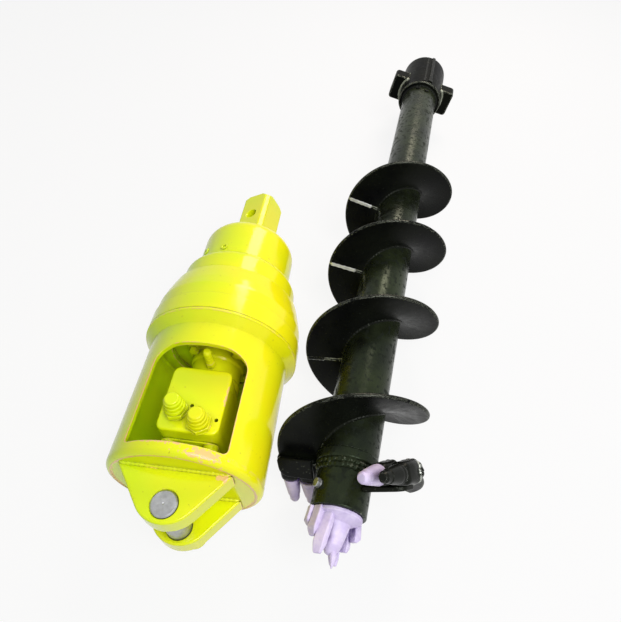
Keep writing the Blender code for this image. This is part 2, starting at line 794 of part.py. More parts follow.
def helical_plate(name, first, last, inner, outer, shift, axis, pitch=flight_pitch):
    """Part of the helix between two angles: a radial line, screwed up and given its thickness."""
    mesh = bpy.data.meshes.new(name)
    form = bmesh.new()
    count = 2
    points = [form.verts.new((inner + (outer - inner) * step / count, 0.0, 0.0)) for step in range(count + 1)]
    for start, end in zip(points, points[1:]):
        form.edges.new((start, end))
    form.to_mesh(mesh)
    form.free()
    plate = mesh_object(name, mesh)
    screw = plate.modifiers.new("helix", "SCREW")
    steps = max(4, round((last - first) / 11.25))
    screw.angle = radians(last - first)
    screw.screw_offset = pitch * (last - first) / 360.0
    screw.steps = steps
    screw.render_steps = steps
    screw.use_merge_vertices = False
    wall = plate.modifiers.new("thickness", "SOLIDIFY")
    wall.thickness = flight_thickness
    wall.offset = 0.0
    wall.use_even_offset = False
    plate.location = (0.0, 0.0, flight_height(last) + shift)
    plate.rotation_euler = Euler((0.0, 0.0, radians(-last)))
    finish_part(plate, "black_paint", axis)
    smooth(plate)
    return plate


def make_auger_tube(frame):
    """Hub with its square socket and lugs, the tube, the collar ring and the barrel."""
    axis = frame["auger_axis"]
    tube_top = hub_start + hub_seat_depth - seat_gap
    tube = turned("auger_tube", [
        (tube_radius - tube_wall, tube_top), (tube_radius, tube_top), (tube_radius, tube_bottom),
        (tube_radius - tube_wall, tube_bottom)], 32)
    finish_part(tube, "black_paint", axis)
    seat = tube_radius + seat_gap
    floor = hub_start + hub_seat_depth
    hub = turned("hub", [
        (0.0, hub_end), (hub_radius - casing_edge, hub_end), (hub_radius, hub_end - casing_edge),
        (hub_radius, hub_start + casing_edge), (hub_radius - casing_edge, hub_start),
        (seat, hub_start), (seat, floor), (0.0, floor)], 32, closed=False)
    socket_side = square_side + 2 * hub_socket_gap
    socket = block("hub_socket", (socket_side, socket_side, 2 * hub_socket_depth))
    socket.location = (0.0, 0.0, hub_end)
    combine(hub, as_cutter(socket, axis))
    finish_part(hub, "black_paint", axis)
    for name, side in (("hub_lug_left", -1), ("hub_lug_right", 1)):
        width = lug_reach + 0.012
        lug = block(name, (width, lug_width, lug_depth),
                    (side * (hub_radius + lug_reach - width / 2), 0.0, hub_start + lug_place))
        bite = cylinder(name + "_bite", hub_radius + seat_gap, hub_start - 0.05, hub_end, 40)
        round_edges(lug, 0.008, 2)
        combine(lug, as_cutter(bite, axis))
        lug.rotation_euler = Euler((0.0, 0.0, radians(lug_roll)))
        finish_part(lug, "black_paint", axis)
    collar_low = tube_bottom - seat_gap - collar_height
    collar = turned("collar_ring", [
        (tube_radius - tube_wall, tube_bottom - seat_gap), (collar_radius - casing_edge, tube_bottom - seat_gap),
        (collar_radius, tube_bottom - seat_gap - casing_edge), (collar_radius, collar_low + casing_edge),
        (collar_radius - casing_edge, collar_low), (tube_radius - tube_wall, collar_low)], 28)
    finish_part(collar, "black_paint", axis)
    barrel = turned("barrel", [
        (barrel_radius - barrel_wall, barrel_top), (barrel_radius, barrel_top),
        (barrel_radius, barrel_bottom), (barrel_radius - barrel_wall, barrel_bottom)], 28)
    finish_part(barrel, "black_paint", axis)
    head = cylinder("bit_bolt", bit_bolt_radius, -0.003, 0.0075, 6)
    hole = cylinder("bit_bolt_hole", bit_bolt_radius + seat_gap, -0.003 - seat_gap, 0.02, 16)
    place = (146.0, barrel_bottom + 0.034)
    aim_radial(head, place, barrel_radius, axis)
    aim_radial(hole, place, barrel_radius, axis)
    combine(barrel, as_cutter(hole, axis))
    finish_part(head, "bright_steel", axis)


def make_flights(frame):
    """Four flight sections with their butt joints, and the short wing opposite the last one's end."""
    axis = frame["auger_axis"]
    inner = tube_radius + running_gap
    half_gap = flight_joint_gap / 2 / flight_radius * 180.0 / pi
    bounds = (flight_start,) + flight_joints + (flight_end,)
    for index, (first, last) in enumerate(zip(bounds, bounds[1:])):
        low = first if index == 0 else first + half_gap
        high = last if last == flight_end else last - half_gap
        flight = helical_plate("flight_" + str(index + 1), low, high, inner, flight_radius, 0.0, axis)
        if last == flight_end:
            way = cylinder("collar_way", collar_radius + running_gap, barrel_bottom, tube_bottom + running_gap, 32)
            combine(flight, as_cutter(way, axis))
    turns = 3 * 360.0
    wing_inner = collar_radius + seat_gap
    helical_plate("wing_plate", turns + wing_from, turns + wing_to, wing_inner, wing_radius, -wing_drop,
                  axis, wing_pitch)
    make_edge("main", flight_end, 0.0, main_holder_radii, flight_pitch, axis)
    make_edge("wing", turns + wing_to, -wing_drop, wing_holder_radii, wing_pitch, axis)


def holder_room(radius, pitch):
    """How far a holder stands off its plate's edge, so that its tilted back clears the plate."""
    tilt = radians(tooth_dip) - atan2(pitch, 2 * pi * radius)
    return holder_seat_gap + flight_thickness / 2 * abs(tan(tilt))


def make_edge(name, angle, shift, radii, pitch, axis):
    """Two tooth holders on a cutting edge, dipping towards the tip, and the teeth that turn in them."""
    for index, radius in enumerate(radii):
        tangent = around(1.0, angle + 90.0, 0.0)
        forward = tangent * cos(radians(tooth_dip)) + Vector((0.0, 0.0, -sin(radians(tooth_dip))))
        outward = around(1.0, angle, 0.0)
        across = forward.cross(outward)
        edge = around(radius, angle, flight_height(angle) + shift)
        start = edge + forward * holder_room(radius, pitch)
        turn = Matrix((outward, across, forward)).transposed().to_quaternion()
        holder = block(name + "_holder_" + str(index + 1), (holder_width, holder_depth, holder_length),
                       (0.0, 0.0, holder_length / 2))
        round_edges(holder, holder_round, 2)
        bore = cylinder("holder_bore", tooth_shank_radius + seat_gap,
                        holder_length - tooth_shank_length - 2 * seat_gap, holder_length + 0.01, 16)
        combine(holder, as_cutter(bore, axis))
        for item in (holder, bore):
            item.rotation_mode = "QUATERNION"
            item.rotation_quaternion = turn
            item.location = start
        finish_part(holder, "black_paint", axis)
        tooth = make_tooth(name + "_tooth_" + str(index + 1))
        tooth.rotation_mode = "QUATERNION"
        tooth.rotation_quaternion = turn
        tooth.location = start + forward * (holder_length + seat_gap)
        finish_part(tooth, "tooth_steel", axis)


def make_tooth(name):
    """A round tooth with a hard tip, a collar and a shank, on local Z with its seat at zero."""
    tip = tooth_length
    return turned(name, [
        (0.0, tip), (0.0045, tip - 0.001), (0.0075, tip - 0.010), (0.0120, tip - 0.014),
        (tooth_radius, 0.008), (tooth_collar_radius, 0.006), (tooth_collar_radius, 0.001),
        (tooth_shank_radius, 0.0), (tooth_shank_radius, -tooth_shank_length), (0.0, -tooth_shank_length)],
        14, closed=False)


def make_bit(frame):
    """Pilot bit: a core with a spike, and two stairs of three fingers that wind about it."""
    axis = frame["auger_axis"]
    base = barrel_bottom - seat_gap
    tip = base - bit_length
    bit = turned("pilot_bit", [
        (0.0, base), (bit_base_radius, base), (bit_base_radius, base - 0.006),
        (bit_core_radius, base - 0.016), (bit_core_radius * 0.62, base - bit_length * 0.64), (0.0, tip)],
        20, closed=False)
    for side in (0.0, stair_turn):
        for index, (radius, reach) in enumerate(zip(finger_radii, finger_reach)):
            angle = finger_from - finger_step * index + side
            finger = block("finger", (finger_thickness, finger_width, reach), (0.0, 0.0, -reach / 2))
            finger.location = around(radius, angle, base - 0.001)
            finger.rotation_euler = Euler((0.0, 0.0, radians(-angle)))
            combine(bit, as_cutter(finger, axis), "UNION")
    finish_part(bit, "tooth_steel", axis)
    smooth(bit)


def make_frames():
    """Empties: one level, one along the drive's axis and one along the auger's axis."""
    lie_down = Euler((radians(-90.0), 0.0, 0.0))
    level = make_empty("drive_level", (0.0, -shaft_tip, 0.0), Euler((0.0, 0.0, 0.0)))
    drive = make_empty("drive_axis", (0.0, -shaft_tip, 0.0), lie_down)
    turn = Euler((radians(-90.0), 0.0, radians(-auger_turn)))
    place = (auger_right, auger_forward - shaft_tip, flight_radius - axis_height)
    auger = make_empty("auger_axis", place, turn)
    return {"drive_level": level, "drive_axis": drive, "auger_axis": auger}


def build():
    frame = make_frames()
    bpy.context.view_layer.update()
    make_bell(frame)
    make_ears(frame)
    make_casings(frame)
    make_gears(frame)
    make_shafts(frame)
    make_motor(frame)
    make_auger_tube(frame)
    make_flights(frame)
    make_bit(frame)
    bpy.context.view_layer.update()


build()
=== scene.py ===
import json
from math import atan2, cos, pi, radians, sin, sqrt, tan
import bmesh
import bpy
import numpy as np
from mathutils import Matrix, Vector


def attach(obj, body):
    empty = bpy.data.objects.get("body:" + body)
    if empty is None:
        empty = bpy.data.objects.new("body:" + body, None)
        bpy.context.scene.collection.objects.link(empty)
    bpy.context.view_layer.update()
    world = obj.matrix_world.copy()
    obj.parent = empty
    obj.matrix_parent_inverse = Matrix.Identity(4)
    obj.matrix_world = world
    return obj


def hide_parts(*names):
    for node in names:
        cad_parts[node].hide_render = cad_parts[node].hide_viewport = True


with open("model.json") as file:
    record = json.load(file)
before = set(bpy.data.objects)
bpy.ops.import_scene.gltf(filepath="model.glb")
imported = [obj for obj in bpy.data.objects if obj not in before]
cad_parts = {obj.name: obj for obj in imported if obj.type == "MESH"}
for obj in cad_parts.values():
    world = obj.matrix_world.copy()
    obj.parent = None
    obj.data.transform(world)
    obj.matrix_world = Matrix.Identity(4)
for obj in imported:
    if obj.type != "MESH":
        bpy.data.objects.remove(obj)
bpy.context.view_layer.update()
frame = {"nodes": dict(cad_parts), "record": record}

print("frame loaded")

# Where the two pieces lie

# the drive is measured along its axis from the bell's joint, the auger from a point beside its teeth
layout = {"shaftTip": 0.4562, "floor": -0.150, "augerPlace": (0.309, -0.2582, -0.0184), "augerTurn": 6.0}
augerAxis = np.array((sin(radians(layout["augerTurn"])), cos(radians(layout["augerTurn"])), 0.0))
augerRight = np.array((cos(radians(layout["augerTurn"])), -sin(radians(layout["augerTurn"])), 0.0))
upward = np.array((0.0, 0.0, 1.0))
slack = 0.0003  # room between two pieces that meet


def toDrive(points):  # right, along, up in the drive's frame to the row's frame
    return np.asarray(points) - np.array((0.0, layout["shaftTip"], 0.0))


def toAuger(points):  # right, along, up in the auger's frame to the row's frame
    points = np.asarray(points)
    start = np.array(layout["augerPlace"])
    return start + points[..., 0:1] * augerRight + points[..., 1:2] * augerAxis + points[..., 2:3] * upward


def unit(count):  # equal steps from 0 to 1
    return np.linspace(0.0, 1.0, count)


def circle(count):  # equal steps of angle round a full turn
    return np.linspace(0.0, 2 * pi, count, endpoint=False)


def around(radius, along, turn):  # points about the axis: (r cos t, along, r sin t)
    return np.stack(np.broadcast_arrays(radius * np.cos(turn), along, radius * np.sin(turn)), axis=-1)


def spoke(turn):  # the direction away from the axis at a turn
    return np.array((cos(turn), 0.0, sin(turn)))


def offAxis(outward, radius, along):  # the point at a radius from the axis in a direction away from it
    return outward * radius + np.array((0.0, along, 0.0))


# Surfaces

# a shell is (points, quads, caps): a grid of points, its faces, and whole faces on its ends

def gridShell(points, closeRows=False, closeColumns=True, capEnds=False):
    # each face joins a point to its neighbours along the row and along the column
    points = np.asarray(points, dtype=float)
    rows, columns = points.shape[:2]
    index = np.arange(rows * columns).reshape(rows, columns)
    near = index if closeRows else index[:-1]
    far = np.roll(index, -1, axis=0) if closeRows else index[1:]
    if closeColumns:
        corners = (near, np.roll(near, -1, axis=1), np.roll(far, -1, axis=1), far)
    else:
        corners = (near[:, :-1], near[:, 1:], far[:, 1:], far[:, :-1])
    quads = np.stack(corners, axis=-1).reshape(-1, 4)
    caps = [index[0].tolist(), index[-1].tolist()] if capEnds else []
    return points.reshape(-1, 3), quads, caps


def fillets(corners, steps=5, closed=False):
    # a path through (a, b, radius) corners, each replaced by an arc that touches both of its sides
    path = []
    count = len(corners)
    for number, (a, b, radius) in enumerate(corners):
        here = np.array((a, b), dtype=float)
        if radius <= 0 or (not closed and number in (0, count - 1)):
            path.append(here[None])
            continue
        back = np.array(corners[number - 1][:2], dtype=float) - here
        ahead = np.array(corners[(number + 1) % count][:2], dtype=float) - here
        back /= np.linalg.norm(back)
        ahead /= np.linalg.norm(ahead)
        half = np.arccos(np.clip(back @ ahead, -1, 1)) / 2
        reach = radius / np.tan(half)
        middle = here + (back + ahead) / np.linalg.norm(back + ahead) * radius / np.sin(half)
        start = here + back * reach - middle
        end = here + ahead * reach - middle
        share = unit(steps + 1)[:, None]
        turn = pi - 2 * half
        path.append(middle + (np.sin((1 - share) * turn) * start + np.sin(share * turn) * end) / np.sin(turn))
    return np.concatenate(path)


def resample(loop, count):
    # points at equal steps of length round a loop
    loop = np.asarray(loop, dtype=float)
    ends = np.concatenate([loop, loop[:1]])
    lengths = np.concatenate([[0.0], np.cumsum(np.linalg.norm(np.diff(ends, axis=0), axis=1))])
    wanted = np.linspace(0.0, lengths[-1], count + 1)[:count]
    return np.stack([np.interp(wanted, lengths, ends[:, axis]) for axis in range(ends.shape[1])], axis=1)


def lathe(profile, segments=144, closed=False):
    # radius and place along the axis, turned about the axis: (r cos t, along, r sin t)
    profile = np.asarray(profile, dtype=float)
    points = around(profile[None, :, 0], profile[None, :, 1], circle(segments)[:, None])
    return gridShell(points, closeRows=True, closeColumns=closed)


def turned(corners, steps, segments=144):
    # a closed outline with rounded corners, turned about the axis
    return lathe(fillets(corners, steps, closed=True), segments, closed=True)


def inset(loop, distance):
    # a convex outline moved in: each point slides along the ray to the middle, as far as its edge's slant asks
    loop = np.asarray(loop, dtype=float)
    centre = (loop.max(axis=0) + loop.min(axis=0)) / 2
    away = loop - centre
    length = np.linalg.norm(away, axis=1, keepdims=True)
    away = away / length
    tangent = np.roll(loop, -1, axis=0) - np.roll(loop, 1, axis=0)
    tangent /= np.linalg.norm(tangent, axis=1, keepdims=True) + 1e-12
    slant = np.abs(tangent[:, 0] * away[:, 1] - tangent[:, 1] * away[:, 0])
    slant = np.minimum(slant, np.minimum(np.roll(slant, 1), np.roll(slant, -1)))[:, None]
    return loop - away * distance / np.clip(slant, 0.3, 1.0)


def plate(loop, low, high, edge=0.001, hole=None, steps=3, holeEdge=0.0005):
    # an outline (a, b) carried through the thickness c, with its edges rounded; a hole is a second outline
    turn = np.linspace(0.0, pi / 2, steps + 1)
    firm = edge * 0.35
    offsets = np.concatenate([[edge + firm], edge * (1 - np.sin(turn)), edge * (1 - np.sin(turn[::-1])), [edge + firm]])
    heights = np.concatenate([[low], low + edge * (1 - np.cos(turn)), high - edge * (1 - np.cos(turn[::-1])), [high]])
    rows = [np.column_stack([inset(loop, offset), np.full(len(loop), height)])
            for offset, height in zip(offsets, heights)]
    if hole is None:
        return gridShell(np.array(rows), capEnds=True)
    for offset, height in ((-1.35 * holeEdge, high), (-holeEdge, high), (0.0, high - holeEdge), (0.0, low + holeEdge),
                           (-holeEdge, low), (-1.35 * holeEdge, low)):
        rows.append(np.column_stack([inset(hole, offset), np.full(len(hole), height)]))
    return gridShell(np.array(rows), closeRows=True)


def roundHole(loop, radius, centre):
    # a circle whose points stand on the same rays from its centre as the outline's points
    away = np.asarray(loop) - np.array(centre)
    return np.array(centre) + radius * away / np.linalg.norm(away, axis=1, keepdims=True)


def hexagon(flats, count=48, turn=0.0):
    # six corners at flats / sqrt(3) from the middle
    corners = [(flats / sqrt(3) * cos(radians(60 * k + turn)), flats / sqrt(3) * sin(radians(60 * k + turn)), 0)
               for k in range(6)]
    return resample(fillets(corners, closed=True), count)


def roundedBox(width, depth, radius, count=96, centre=(0.0, 0.0)):
    # a rectangle with an arc in each corner
    x, y = width / 2, depth / 2
    corners = [(x, -y, radius), (x, y, radius), (-x, y, radius), (-x, -y, radius)]
    return resample(fillets(corners, 8, closed=True), count) + np.array(centre)


def bead(path, normals, radius, pitch=0.006, closed=False, flat=0.6, sides=12):
    # a weld: a half round section carried along a path, swelling once per ripple
    path, normals = np.asarray(path, dtype=float), np.asarray(normals, dtype=float)
    tangent = np.roll(path, -1, axis=0) - np.roll(path, 1, axis=0) if closed else np.gradient(path, axis=0)
    tangent /= np.linalg.norm(tangent, axis=1, keepdims=True)
    side = np.cross(tangent, normals)
    step = np.linalg.norm(np.diff(path, axis=0), axis=1)
    run = np.concatenate([[0.0], np.cumsum(step)])[:, None]
    turn = circle(sides)[None]
    swell = radius * (1 + 0.10 * np.sin(2 * pi * run / pitch + 1.6 * np.cos(turn)) + 0.06 * np.sin(run * 97.0))
    if not closed:
        swell = swell * np.clip(np.minimum(run, run[-1] - run) / (2 * radius) + 0.25, 0.0, 1.0)
    points = path[:, None] + (swell * np.cos(turn) * flat)[..., None] * normals[:, None]
    points = points + (swell * np.sin(turn))[..., None] * side[:, None]
    return gridShell(points, closeRows=closed, capEnds=not closed)


def standing(shell, place, up, aside=None):
    # a shell made about its own c axis, stood at a place with c along up
    up = np.asarray(up, dtype=float)
    up = up / np.linalg.norm(up)
    aside = np.array((1.0, 0.0, 0.0)) if aside is None else np.asarray(aside, dtype=float)
    across = np.cross(up, aside)
    across /= np.linalg.norm(across)
    first = np.cross(across, up)
    points, quads, caps = shell
    turned = points[:, 0:1] * first + points[:, 1:2] * across + points[:, 2:3] * up
    return turned + np.asarray(place, dtype=float), quads, caps


def stood(shells, place, up, aside=None):  # several shells at one place
    return [standing(shell, place, up, aside) for shell in shells]


def fourPlaces(reach):  # the corners of a square about the axis
    return [(x, z) for x in (-reach, reach) for z in (-reach, reach)]


def spindle(profile, segments=48):
    # a lathe about the c axis, for standing up: (radius, height)
    points, quads, caps = lathe(profile, segments)
    return points[:, [0, 2, 1]], quads, caps


def washer(radius, low, high, corner, segments=48, foot=0.0):
    # a flat disc about the c axis with its two edges rounded
    profile = fillets([(0.0, low, 0), (radius, low, foot), (radius, high, corner), (0.0, high, 0)], 2)
    return spindle(profile, segments)


def makeMesh(name, shells, place):
    # all shells in one mesh, its seams and poles closed and its faces turned outwards
    start, points, faces = 0, [], []
    for shellPoints, quads, caps in shells:
        points.append(place(shellPoints))
        faces += (quads + start).tolist()
        faces += [[corner + start for corner in cap] for cap in caps]
        start += len(shellPoints)
    mesh = bpy.data.meshes.new(name)
    mesh.from_pydata(np.concatenate(points).tolist(), [], faces)
    form = bmesh.new()
    form.from_mesh(mesh)
    bmesh.ops.remove_doubles(form, verts=form.verts, dist=0.000004)
    bmesh.ops.dissolve_degenerate(form, edges=form.edges, dist=0.000002)
    bmesh.ops.recalc_face_normals(form, faces=form.faces)
    form.to_mesh(mesh)
    form.free()
    return mesh


def makePiece(name, shells, place, material, body, nodes=(), sharp=32.0):
    # a finished piece at the origin; shells may also be a mesh that is already made
    mesh = makeMesh(name, shells, place) if isinstance(shells, list) else shells
    mesh.shade_smooth()
    mesh.set_sharp_from_angle(angle=radians(sharp))
    mesh.materials.clear()
    mesh.materials.append(material)
    piece = bpy.data.objects.new(name, mesh)
    bpy.context.scene.collection.objects.link(piece)
    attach(piece, body)
    if nodes:
        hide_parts(*nodes)
    level = piece.modifiers.new("level", "WEIGHTED_NORMAL")
    level.keep_sharp = True


def carve(name, shells, cutters, place):
    # the shells with other closed shells cut out of them
    whole = bpy.data.objects.new(name, makeMesh(name, shells, place))
    bpy.context.scene.collection.objects.link(whole)
    tools = []
    for number, cutter in enumerate(cutters):
        tool = bpy.data.objects.new(name + "Cut", makeMesh(name + "Cut", [cutter], place))
        bpy.context.scene.collection.objects.link(tool)
        change = whole.modifiers.new("cut" + str(number), "BOOLEAN")
        change.operation = "DIFFERENCE"
        change.solver = "EXACT"
        change.object = tool
        tools.append(tool)
    bpy.context.view_layer.update()
    mesh = bpy.data.meshes.new_from_object(whole.evaluated_get(bpy.context.evaluated_depsgraph_get()))
    mesh.name = name
    for item in [whole] + tools:
        bpy.data.objects.remove(item, do_unlink=True)
    return mesh


# Materials

def addNode(tree, kind, inputs=(), settings=()):
    # a node with its settings; an input is a value or the socket that feeds it
    node = tree.nodes.new(kind)
    for key, value in dict(settings).items():
        setattr(node, key, value)
    for key, value in dict(inputs).items():
        if isinstance(value, bpy.types.NodeSocket):
            tree.links.new(value, node.inputs[key])
        else:
            node.inputs[key].default_value = value
    return node


def makeGroup(name, inputs, outputs):
    # an empty group with its sockets; inputs and outputs are (name, socket type, value)
    group = bpy.data.node_groups.new(name, "ShaderNodeTree")
    for label, kind, value in inputs:
        socket = group.interface.new_socket(name=label, in_out="INPUT", socket_type=kind)
        socket.default_value = value
    for label, kind in outputs:
        group.interface.new_socket(name=label, in_out="OUTPUT", socket_type=kind)
    return group, group.nodes.new("NodeGroupInput"), group.nodes.new("NodeGroupOutput")


def noiseNode(tree, vector, scale, detail=3.0, roughness=0.5):
    # grey noise at a place
    return addNode(tree, "ShaderNodeTexNoise", {"Vector": vector, "Scale": scale, "Detail": detail,
                                                "Roughness": roughness}).outputs["Fac"]


def rangeNode(tree, value, low, high, newLow=0.0, newHigh=1.0):
    # low to high stretched over newLow to newHigh, and held there outside
    node = addNode(tree, "ShaderNodeMapRange", {"Value": value, "From Min": low, "From Max": high,
                                                "To Min": newLow, "To Max": newHigh})
    return node.outputs["Result"]


def mathNode(tree, operation, first, second=0.0, clamp=False):
    # one operation on two values or sockets; clamp keeps the result within 0 and 1
    node = addNode(tree, "ShaderNodeMath", {0: first, 1: second}, {"operation": operation, "use_clamp": clamp})
    return node.outputs[0]


def plus(tree, first, second, clamp=False):
    return mathNode(tree, "ADD", first, second, clamp)


def minus(tree, first, second):
    return mathNode(tree, "SUBTRACT", first, second)


def times(tree, first, second, clamp=False):
    return mathNode(tree, "MULTIPLY", first, second, clamp)


def mixColour(tree, share, first, second):
    colours = {0: share, 6: first, 7: second}  # the node's sockets for a colour mix
    return addNode(tree, "ShaderNodeMix", colours, {"data_type": "RGBA"}).outputs[2]


def buildEdgeWearAndHighlightGroup():
    # mask of chipped edges, which on the yellow paint also paints edge highlights: convex edges found by rays sent
    # inside, broken up by two noises
    group, source, target = makeGroup("edgeWearAndHighlight", [
        ("Width", "NodeSocketFloat", 0.002), ("Amount", "NodeSocketFloat", 0.5),
        ("Scale", "NodeSocketFloat", 180.0)], [("Mask", "NodeSocketFloat")])
    place = addNode(group, "ShaderNodeTexCoord").outputs["Object"]
    edge = addNode(group, "ShaderNodeAmbientOcclusion", {"Distance": source.outputs["Width"]},
                   {"inside": True, "samples": 4, "only_local": True}).outputs["AO"]
    bare = rangeNode(group, edge, 0.98, 0.55)
    fine = noiseNode(group, place, source.outputs["Scale"], 4.0, 0.65)
    broad = noiseNode(group, place, 14.0, 2.0)
    chips = plus(group, times(group, fine, 0.75), times(group, broad, 0.45))
    level = minus(group, 1.12, times(group, source.outputs["Amount"], 0.62))
    spread = minus(group, plus(group, chips, times(group, bare, 0.42)), level)
    mask = times(group, rangeNode(group, spread, 0.0, 0.05), rangeNode(group, bare, 0.02, 0.12))
    group.links.new(mask, target.inputs["Mask"])
    return group


def buildCornerDirtAndShadeGroup():
    # mask of corners and seams, with cloudy edges: dust and dirt on the black paint and the steels, painted shade on
    # the yellow paint and the pale tool steel
    group, source, target = makeGroup("cornerDirtAndShade", [
        ("Reach", "NodeSocketFloat", 0.02), ("Amount", "NodeSocketFloat", 0.5)], [("Mask", "NodeSocketFloat")])
    place = addNode(group, "ShaderNodeTexCoord").outputs["Object"]
    corner = addNode(group, "ShaderNodeAmbientOcclusion", {"Distance": source.outputs["Reach"]},
                     {"samples": 4}).outputs["AO"]
    shut = rangeNode(group, corner, 0.85, 0.30)
    cloud = rangeNode(group, noiseNode(group, place, 45.0, 4.0, 0.6), 0.35, 0.7)
    mask = times(group, times(group, shut, source.outputs["Amount"]),
                 plus(group, times(group, cloud, 0.7), 0.45), True)
    group.links.new(mask, target.inputs["Mask"])
    return group


def buildPeelGroup():
    # height of a sprayed coat: fine orange peel on a slow waviness
    group, source, target = makeGroup("sprayedCoat", [("Peel Scale", "NodeSocketFloat", 420.0),
                                                      ("Waviness", "NodeSocketFloat", 0.3)],
                                      [("Height", "NodeSocketFloat")])
    place = addNode(group, "ShaderNodeTexCoord").outputs["Object"]
    peel = noiseNode(group, place, source.outputs["Peel Scale"], 2.0)
    wave = times(group, noiseNode(group, place, 38.0, 2.0), source.outputs["Waviness"])
    group.links.new(plus(group, times(group, peel, 0.35), wave), target.inputs["Height"])
    return group


def buildHighlightSpotGroup():
    # mask of one painted highlight patch: inside an egg round its centre, with a ragged edge
    group, source, target = makeGroup("paintedHighlightSpot", [
        ("Centre", "NodeSocketVector", (0.0, 0.0, 0.0)), ("Size", "NodeSocketVector", (0.01, 0.01, 0.01)),
        ("Ragged", "NodeSocketFloat", 1.0)], [("Mask", "NodeSocketFloat")])
    place = addNode(group, "ShaderNodeTexCoord").outputs["Object"]
    away = place
    for operation, socket in (("SUBTRACT", "Centre"), ("DIVIDE", "Size")):
        away = addNode(group, "ShaderNodeVectorMath", {0: away, 1: source.outputs[socket]},
                       {"operation": operation}).outputs[0]
    far = addNode(group, "ShaderNodeVectorMath", {0: away}, {"operation": "LENGTH"}).outputs["Value"]
    chips = minus(group, noiseNode(group, place, 110.0, 4.0, 0.65), 0.5)
    inside = plus(group, minus(group, 1.0, far),
                  times(group, chips, times(group, source.outputs["Ragged"], 3.2)))
    group.links.new(rangeNode(group, inside, 0.30, 0.42), target.inputs["Mask"])
    return group


groups = {"wearAndHighlight": buildEdgeWearAndHighlightGroup(), "dirtAndShade": buildCornerDirtAndShadeGroup(), "peel": buildPeelGroup(), "highlightSpot": buildHighlightSpotGroup()}


def useGroup(tree, kind, inputs, output):
    # one output of a shared group, its inputs set to plain values
    node = addNode(tree, "ShaderNodeGroup", {}, {"node_tree": groups[kind]})
    for key, value in inputs.items():
        node.inputs[key].default_value = value
    return node.outputs[output]


def newMaterial(name, shaderInputs):
    # a material, its tree, its shader with plain values set, and the Object coordinates
    material = bpy.data.materials.new(name)
    material.use_nodes = True
    tree = material.node_tree
    shader = tree.nodes["Principled BSDF"]
    for key, value in shaderInputs.items():
        shader.inputs[key].default_value = value
    place = addNode(tree, "ShaderNodeTexCoord").outputs["Object"]
    return material, tree, shader, place


def joinSurface(tree, shader, colour, rough, strength, depth, height):
    # colour and roughness straight in, the height through a bump
    tree.links.new(colour, shader.inputs["Base Color"])
    tree.links.new(rough, shader.inputs["Roughness"])
    bump = addNode(tree, "ShaderNodeBump", {"Strength": strength, "Distance": depth, "Height": height})
    tree.links.new(bump.outputs["Normal"], shader.inputs["Normal"])


def paintedMetal(name, paint, highlightSpots=()):
    # paint over steel: colour clouds that lean from left to right (on the yellow a painted warm light on the right
    # side), dirt in corners (on the yellow painted shade), chips on edges (on the yellow partly painted edge
    # highlights), painted highlight patches, orange peel
    material, tree, shader, place = newMaterial(name, {"IOR": 1.5, "Specular IOR Level": paint["gloss"],
                                                       "Specular Tint": paint["glossTint"],
                                                       "Coat Roughness": paint["coatRoughness"],
                                                       "Coat Weight": paint["coat"]})
    broad = rangeNode(tree, noiseNode(tree, place, paint["cloudScale"], 3.0), 0.35, 0.65)
    # towards the right the colour moves to the second colour: a painted warm light on the right side
    if paint["lean"]:
        across = addNode(tree, "ShaderNodeSeparateXYZ", {"Vector": place}).outputs["X"]
        broad = times(tree, broad, 0.45)
        warmLightRamp = plus(tree, times(tree, across, paint["lean"]), 0.28)
        broad = plus(tree, broad, warmLightRamp, True)
    fine = noiseNode(tree, place, 60.0, 4.0, 0.6)
    colour = mixColour(tree, broad, paint["colour"], paint["second"])
    speck = rangeNode(tree, noiseNode(tree, place, paint["speckScale"], paint["speckDetail"]), paint["speckFrom"],
                      paint["speckFrom"] + 0.03)
    colour = mixColour(tree, times(tree, speck, paint["speckAmount"]), colour, paint["speck"])
    # corner colour: painted shade on the yellow paint, dust in corners on the black paint
    dirtAndShade = useGroup(tree, "dirtAndShade", {"Reach": paint["dirtAndShadeReach"], "Amount": paint["dirtAndShadeAmount"]}, "Mask")
    colour = mixColour(tree, dirtAndShade, colour, paint["dirtAndShade"])
    wearAndHighlight = useGroup(tree, "wearAndHighlight", {"Width": paint["wearAndHighlightWidth"], "Amount": paint["wearAndHighlightAmount"],
                                   "Scale": paint["wearAndHighlightScale"]}, "Mask")
    # painted highlight patches, joined to the edge chips so that they take the same peach colour
    for centre, size, ragged in highlightSpots:
        highlightSpot = useGroup(tree, "highlightSpot", {"Centre": centre, "Size": size, "Ragged": ragged}, "Mask")
        wearAndHighlight = mathNode(tree, "MAXIMUM", wearAndHighlight, highlightSpot)
    # on the yellow paint the bare colour is a peach highlight colour: there the chips are partly painted edge
    # highlights and the patches are painted highlights
    colour = mixColour(tree, wearAndHighlight, colour, paint["bare"])
    tree.links.new(times(tree, wearAndHighlight, paint["bareMetal"]), shader.inputs["Metallic"])
    rough = plus(tree, rangeNode(tree, fine, 0.3, 0.7, paint["roughLow"], paint["roughHigh"]),
                 times(tree, dirtAndShade, 0.3), True)
    rough = plus(tree, rough, times(tree, speck, paint["speckRough"]), True)
    peel = useGroup(tree, "peel", {"Peel Scale": paint["peelScale"], "Waviness": paint["waviness"]}, "Height")
    height = minus(tree, peel, times(tree, wearAndHighlight, 0.6))
    joinSurface(tree, shader, colour, rough, paint["bump"], 0.0006, height)
    return material


